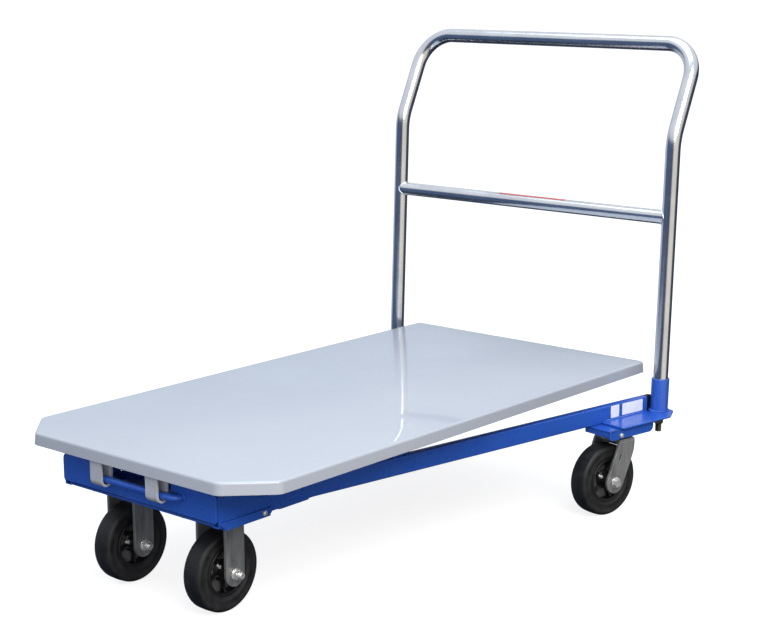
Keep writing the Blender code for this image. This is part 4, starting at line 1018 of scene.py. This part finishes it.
def rear_caster(side, sign):
    """A swivel caster: plate and race on the frame, and a fork that turns on the kingpin below them."""
    name = f"rear_{side}"
    body = f"rear_{side}_swivel"
    origin = shift(sign * KINGPIN_X, KINGPIN_Y, 0.0)
    fixed = beside_rail(sign)
    swivel = origin @ about("Z", REAR_YAW[side])
    plate_low = CASTER_TOP - CASTER_PLATE
    top_plate(name, 0.0335, 0.055, CASTER_TOP, f"{name}_swivel_plate", fixed)
    race = [(0.0066, plate_low), (0.0295, plate_low), (0.0300, plate_low - 0.0020),
            (0.0285, plate_low - 0.0045), (0.0280, 0.1730), (0.0268, 0.1705), (0.0240, 0.1676),
            (0.0066, 0.1676)]
    piece(f"{name}_race_upper", turned(race, 72, "Z"), "frame", "caster_steel", place=fixed, angle=30)
    crown = [(0.0061, 0.1658), (0.0290, 0.1658), (0.0318, 0.1652), (0.0330, 0.1634), (0.0330, 0.1605),
             (0.0320, 0.1586), (0.0300, 0.1580), (0.0061, 0.1580)]
    piece(f"{name}_crown", turned(crown, 80, "Z"), body, "caster_steel", [f"{name}_fork"], place=swivel,
          angle=30)
    for leg_name, leg in SIDES.items():
        shape = carved(prism(swivel_leg(), *leg_span(leg), "X"), leg_slot(leg))
        piece(f"{name}_leg_{leg_name}", shape, body, "caster_steel", bevel=0.0009, place=swivel)
    width = FORK_HALF - 0.0005
    bridge = block((-width, -TRAIL + 0.0105, 0.1581), (width, 0.0160, 0.1656))
    piece(f"{name}_bridge", bridge, body, "caster_steel", bevel=0.0012, place=swivel)
    yoke = block((-width, 0.0112, 0.1385), (width, 0.0150, 0.1590))
    piece(f"{name}_yoke", yoke, body, "caster_steel", bevel=0.0010, place=swivel)
    pin = [(0.0060, CASTER_TOP - 0.0005), (0.0060, 0.1577), (0.0103, 0.1577), (0.0105, 0.1572),
           (0.0105, 0.1530), (0.0098, 0.1515), (0.0060, 0.1512)]
    piece(f"{name}_king_bolt", turned(pin, 40, "Z", closed=False), "frame", "zinc_hardware",
          [f"{name}_kingpin"], place=origin, angle=30)
    at = swivel @ shift(0.0, -TRAIL, WHEEL_RADIUS)
    wheel(name, at, body, sign, math.radians(20), math.radians(150))


# ---- Small things on the frame ----
def round_bolt(name, node, place, sign):
    """A small round-headed bolt seen on a flange's outer face."""
    head = [(0.0030, -0.0036), (0.0030, 0.0003), (0.0053, 0.0004), (0.0054, 0.0020), (0.0050, 0.0030),
            (0.0040, 0.0038), (0.0022, 0.0043), (0.0008, 0.0044)]
    at = place if sign > 0 else place @ about("Z", math.pi)
    piece(name, turned(head, 40, closed=False), "frame", "zinc_hardware", [node], place=at, angle=30)


def make_flange_bolts():
    for side, sign in SIDES.items():
        at = shift(sign * AXLE_REACH, -0.517, 0.1945)
        round_bolt(f"axle_bed_screw_{side}", f"axle_plate_bolt_{side}", at, sign)
        at = beside_rail(sign) @ shift(sign * TRAY_HALF, -0.0302, 0.1772)
        round_bolt(f"caster_tray_screw_{side}", f"caster_tray_bolt_{side}", at, sign)


def make_labels():
    """Two blank white labels on the right rail's outer face."""
    for name, near, far, low, high in (("small", 0.3990, 0.4245, 0.1990, 0.2249),
                                       ("large", 0.4340, 0.4975, 0.1995, 0.2245)):
        outline = rounded_box(near, low, far, high, 0.002, 5)
        label = shell([[(*rail_point(p[0], offset), p[1]) for p in outline] for offset in (0.00005, 0.00025)],
                      caps=True)
        piece(f"rail_label_{name}", label, "frame", material=LABEL)


# ---- Studio ----
def make_floor():
    """A wide pale floor that glows a little, so that shadows on it stay soft."""
    bm = bmesh.new()
    half = 60.0
    corners = ((-half, -half, 0), (half, -half, 0), (half, half, 0), (-half, half, 0))
    bm.faces.new([bm.verts.new(p) for p in corners])
    s = Shader("pale_floor")
    tone = s.mix(s.remap(s.noise(0.7, 2.0), 0.3, 0.7), (0.33, 0.33, 0.33), (0.35, 0.35, 0.35))
    pale = s.set(colour=tone, roughness=0.9, specular=0.0, glow=(1.0, 1.0, 1.0), glow_strength=0.82)
    floor = finish_mesh("studio_floor", bm, pale)
    floor.visible_glossy = False
    floor.visible_diffuse = False


def area_light(name, location, target, size, power, colour):
    data = bpy.data.lights.new(name, "AREA")
    data.shape = "RECTANGLE"
    data.size, data.size_y = size
    data.energy = power
    data.color = colour
    obj = add_object(name, data)
    obj.location = location
    obj.rotation_euler = (Vector(target) - Vector(location)).to_track_quat("-Z", "Y").to_euler()
    return obj


def make_studio():
    make_floor()
    make_world()
    area_light("key_softbox", (2.7, -1.7, 2.9), (0.0, 0.0, 0.2), (2.4, 2.0), 120, (1.0, 0.97, 0.93))
    low = area_light("low_front", (1.5, -3.5, 0.5), (0.0, -0.3, 0.2), (2.2, 0.9), 28, (1.0, 0.98, 0.97))
    low.visible_glossy = False
    area_light("overhead", (-0.2, 0.2, 4.2), (0.0, 0.0, 0.3), (3.4, 3.0), 86, (0.68, 0.85, 1.0))


def world_ramp(world, value, stops):
    out = world.node("ShaderNodeValToRGB", {"Fac": value})["Color"]
    marks = out.node.color_ramp.elements
    marks[0].position, marks[0].color = stops[0][0], (*stops[0][1], 1.0)
    marks[1].position, marks[1].color = stops[-1][0], (*stops[-1][1], 1.0)
    for position, colour in stops[1:-1]:
        marks.new(position).color = (*colour, 1.0)
    return out


def make_world():
    """Bright overhead, dark underfoot, and round the horizon the bands that polished tube shows."""
    made = bpy.data.worlds.new("studio_world")
    made.use_nodes = True
    world = Nodes(made.node_tree)
    towards = world.node("ShaderNodeTexCoord")["Generated"]
    up = world.node("ShaderNodeSeparateXYZ", {0: towards})["Z"]
    height = world.remap(up, -1.0, 1.0)
    azimuth = world.node("ShaderNodeTexGradient", {"Vector": towards}, gradient_type="RADIAL")["Fac"]
    cool, navy, grey = (0.62, 0.68, 0.78), (0.085, 0.13, 0.25), (0.10, 0.10, 0.12)
    cream, dark = (0.95, 0.90, 0.80), (0.050, 0.065, 0.100)
    bands = world_ramp(world, azimuth, [
        (0.0, cool), (0.040, cool), (0.070, navy), (0.240, navy), (0.280, grey), (0.345, grey),
        (0.365, cool), (0.405, cream), (0.545, cream), (0.590, dark), (0.838, dark), (0.858, cool),
        (1.0, cool)])
    underfoot, low, sky, top = (0.03, 0.03, 0.035), (0.05, 0.075, 0.13), (0.84, 0.88, 0.94), (0.95, 1.0, 1.08)
    vertical = world_ramp(world, height, [(0.0, underfoot), (0.30, low), (0.66, sky), (1.0, top)])
    none, full = (0.0, 0.0, 0.0), (1.0, 1.0, 1.0)
    share = world_ramp(world, height, [(0.20, none), (0.34, full), (0.61, full), (0.66, none)])
    # the bands light the object and show in its reflections; behind it the studio is plain white
    studio = world.node("ShaderNodeBackground", {"Color": world.mix(share, vertical, bands), "Strength": 0.9})
    plain = world.node("ShaderNodeBackground", {"Color": full})
    seen = world.node("ShaderNodeLightPath")["Is Camera Ray"]
    shown = world.node("ShaderNodeMixShader", {"Fac": seen, 1: studio["Background"], 2: plain["Background"]})
    world.feed(made.node_tree.nodes["World Output"].inputs["Surface"], shown["Shader"])
    bpy.context.scene.world = made


def make_camera():
    """Looks down 12 degrees, 40 degrees round from the front, with a long lens."""
    data = bpy.data.cameras.new("photo_camera")
    data.lens = 80.52
    data.sensor_width = 36.0
    data.clip_start, data.clip_end = 0.05, 300.0
    camera = add_object("photo_camera", data)
    camera.location = (2.2346, -2.5791, 1.1534)
    camera.rotation_euler = (math.radians(90.0 - 11.98), 0.0, math.radians(40.33))
    bpy.context.scene.camera = camera


def main():
    make_deck()
    make_frame()
    make_rear_corners()
    make_handle()
    for side, sign in SIDES.items():
        front_caster(side, sign)
        rear_caster(side, sign)
    make_flange_bolts()
    make_labels()
    make_studio()
    make_camera()
    bpy.context.scene.view_settings.view_transform = "Standard"


main()
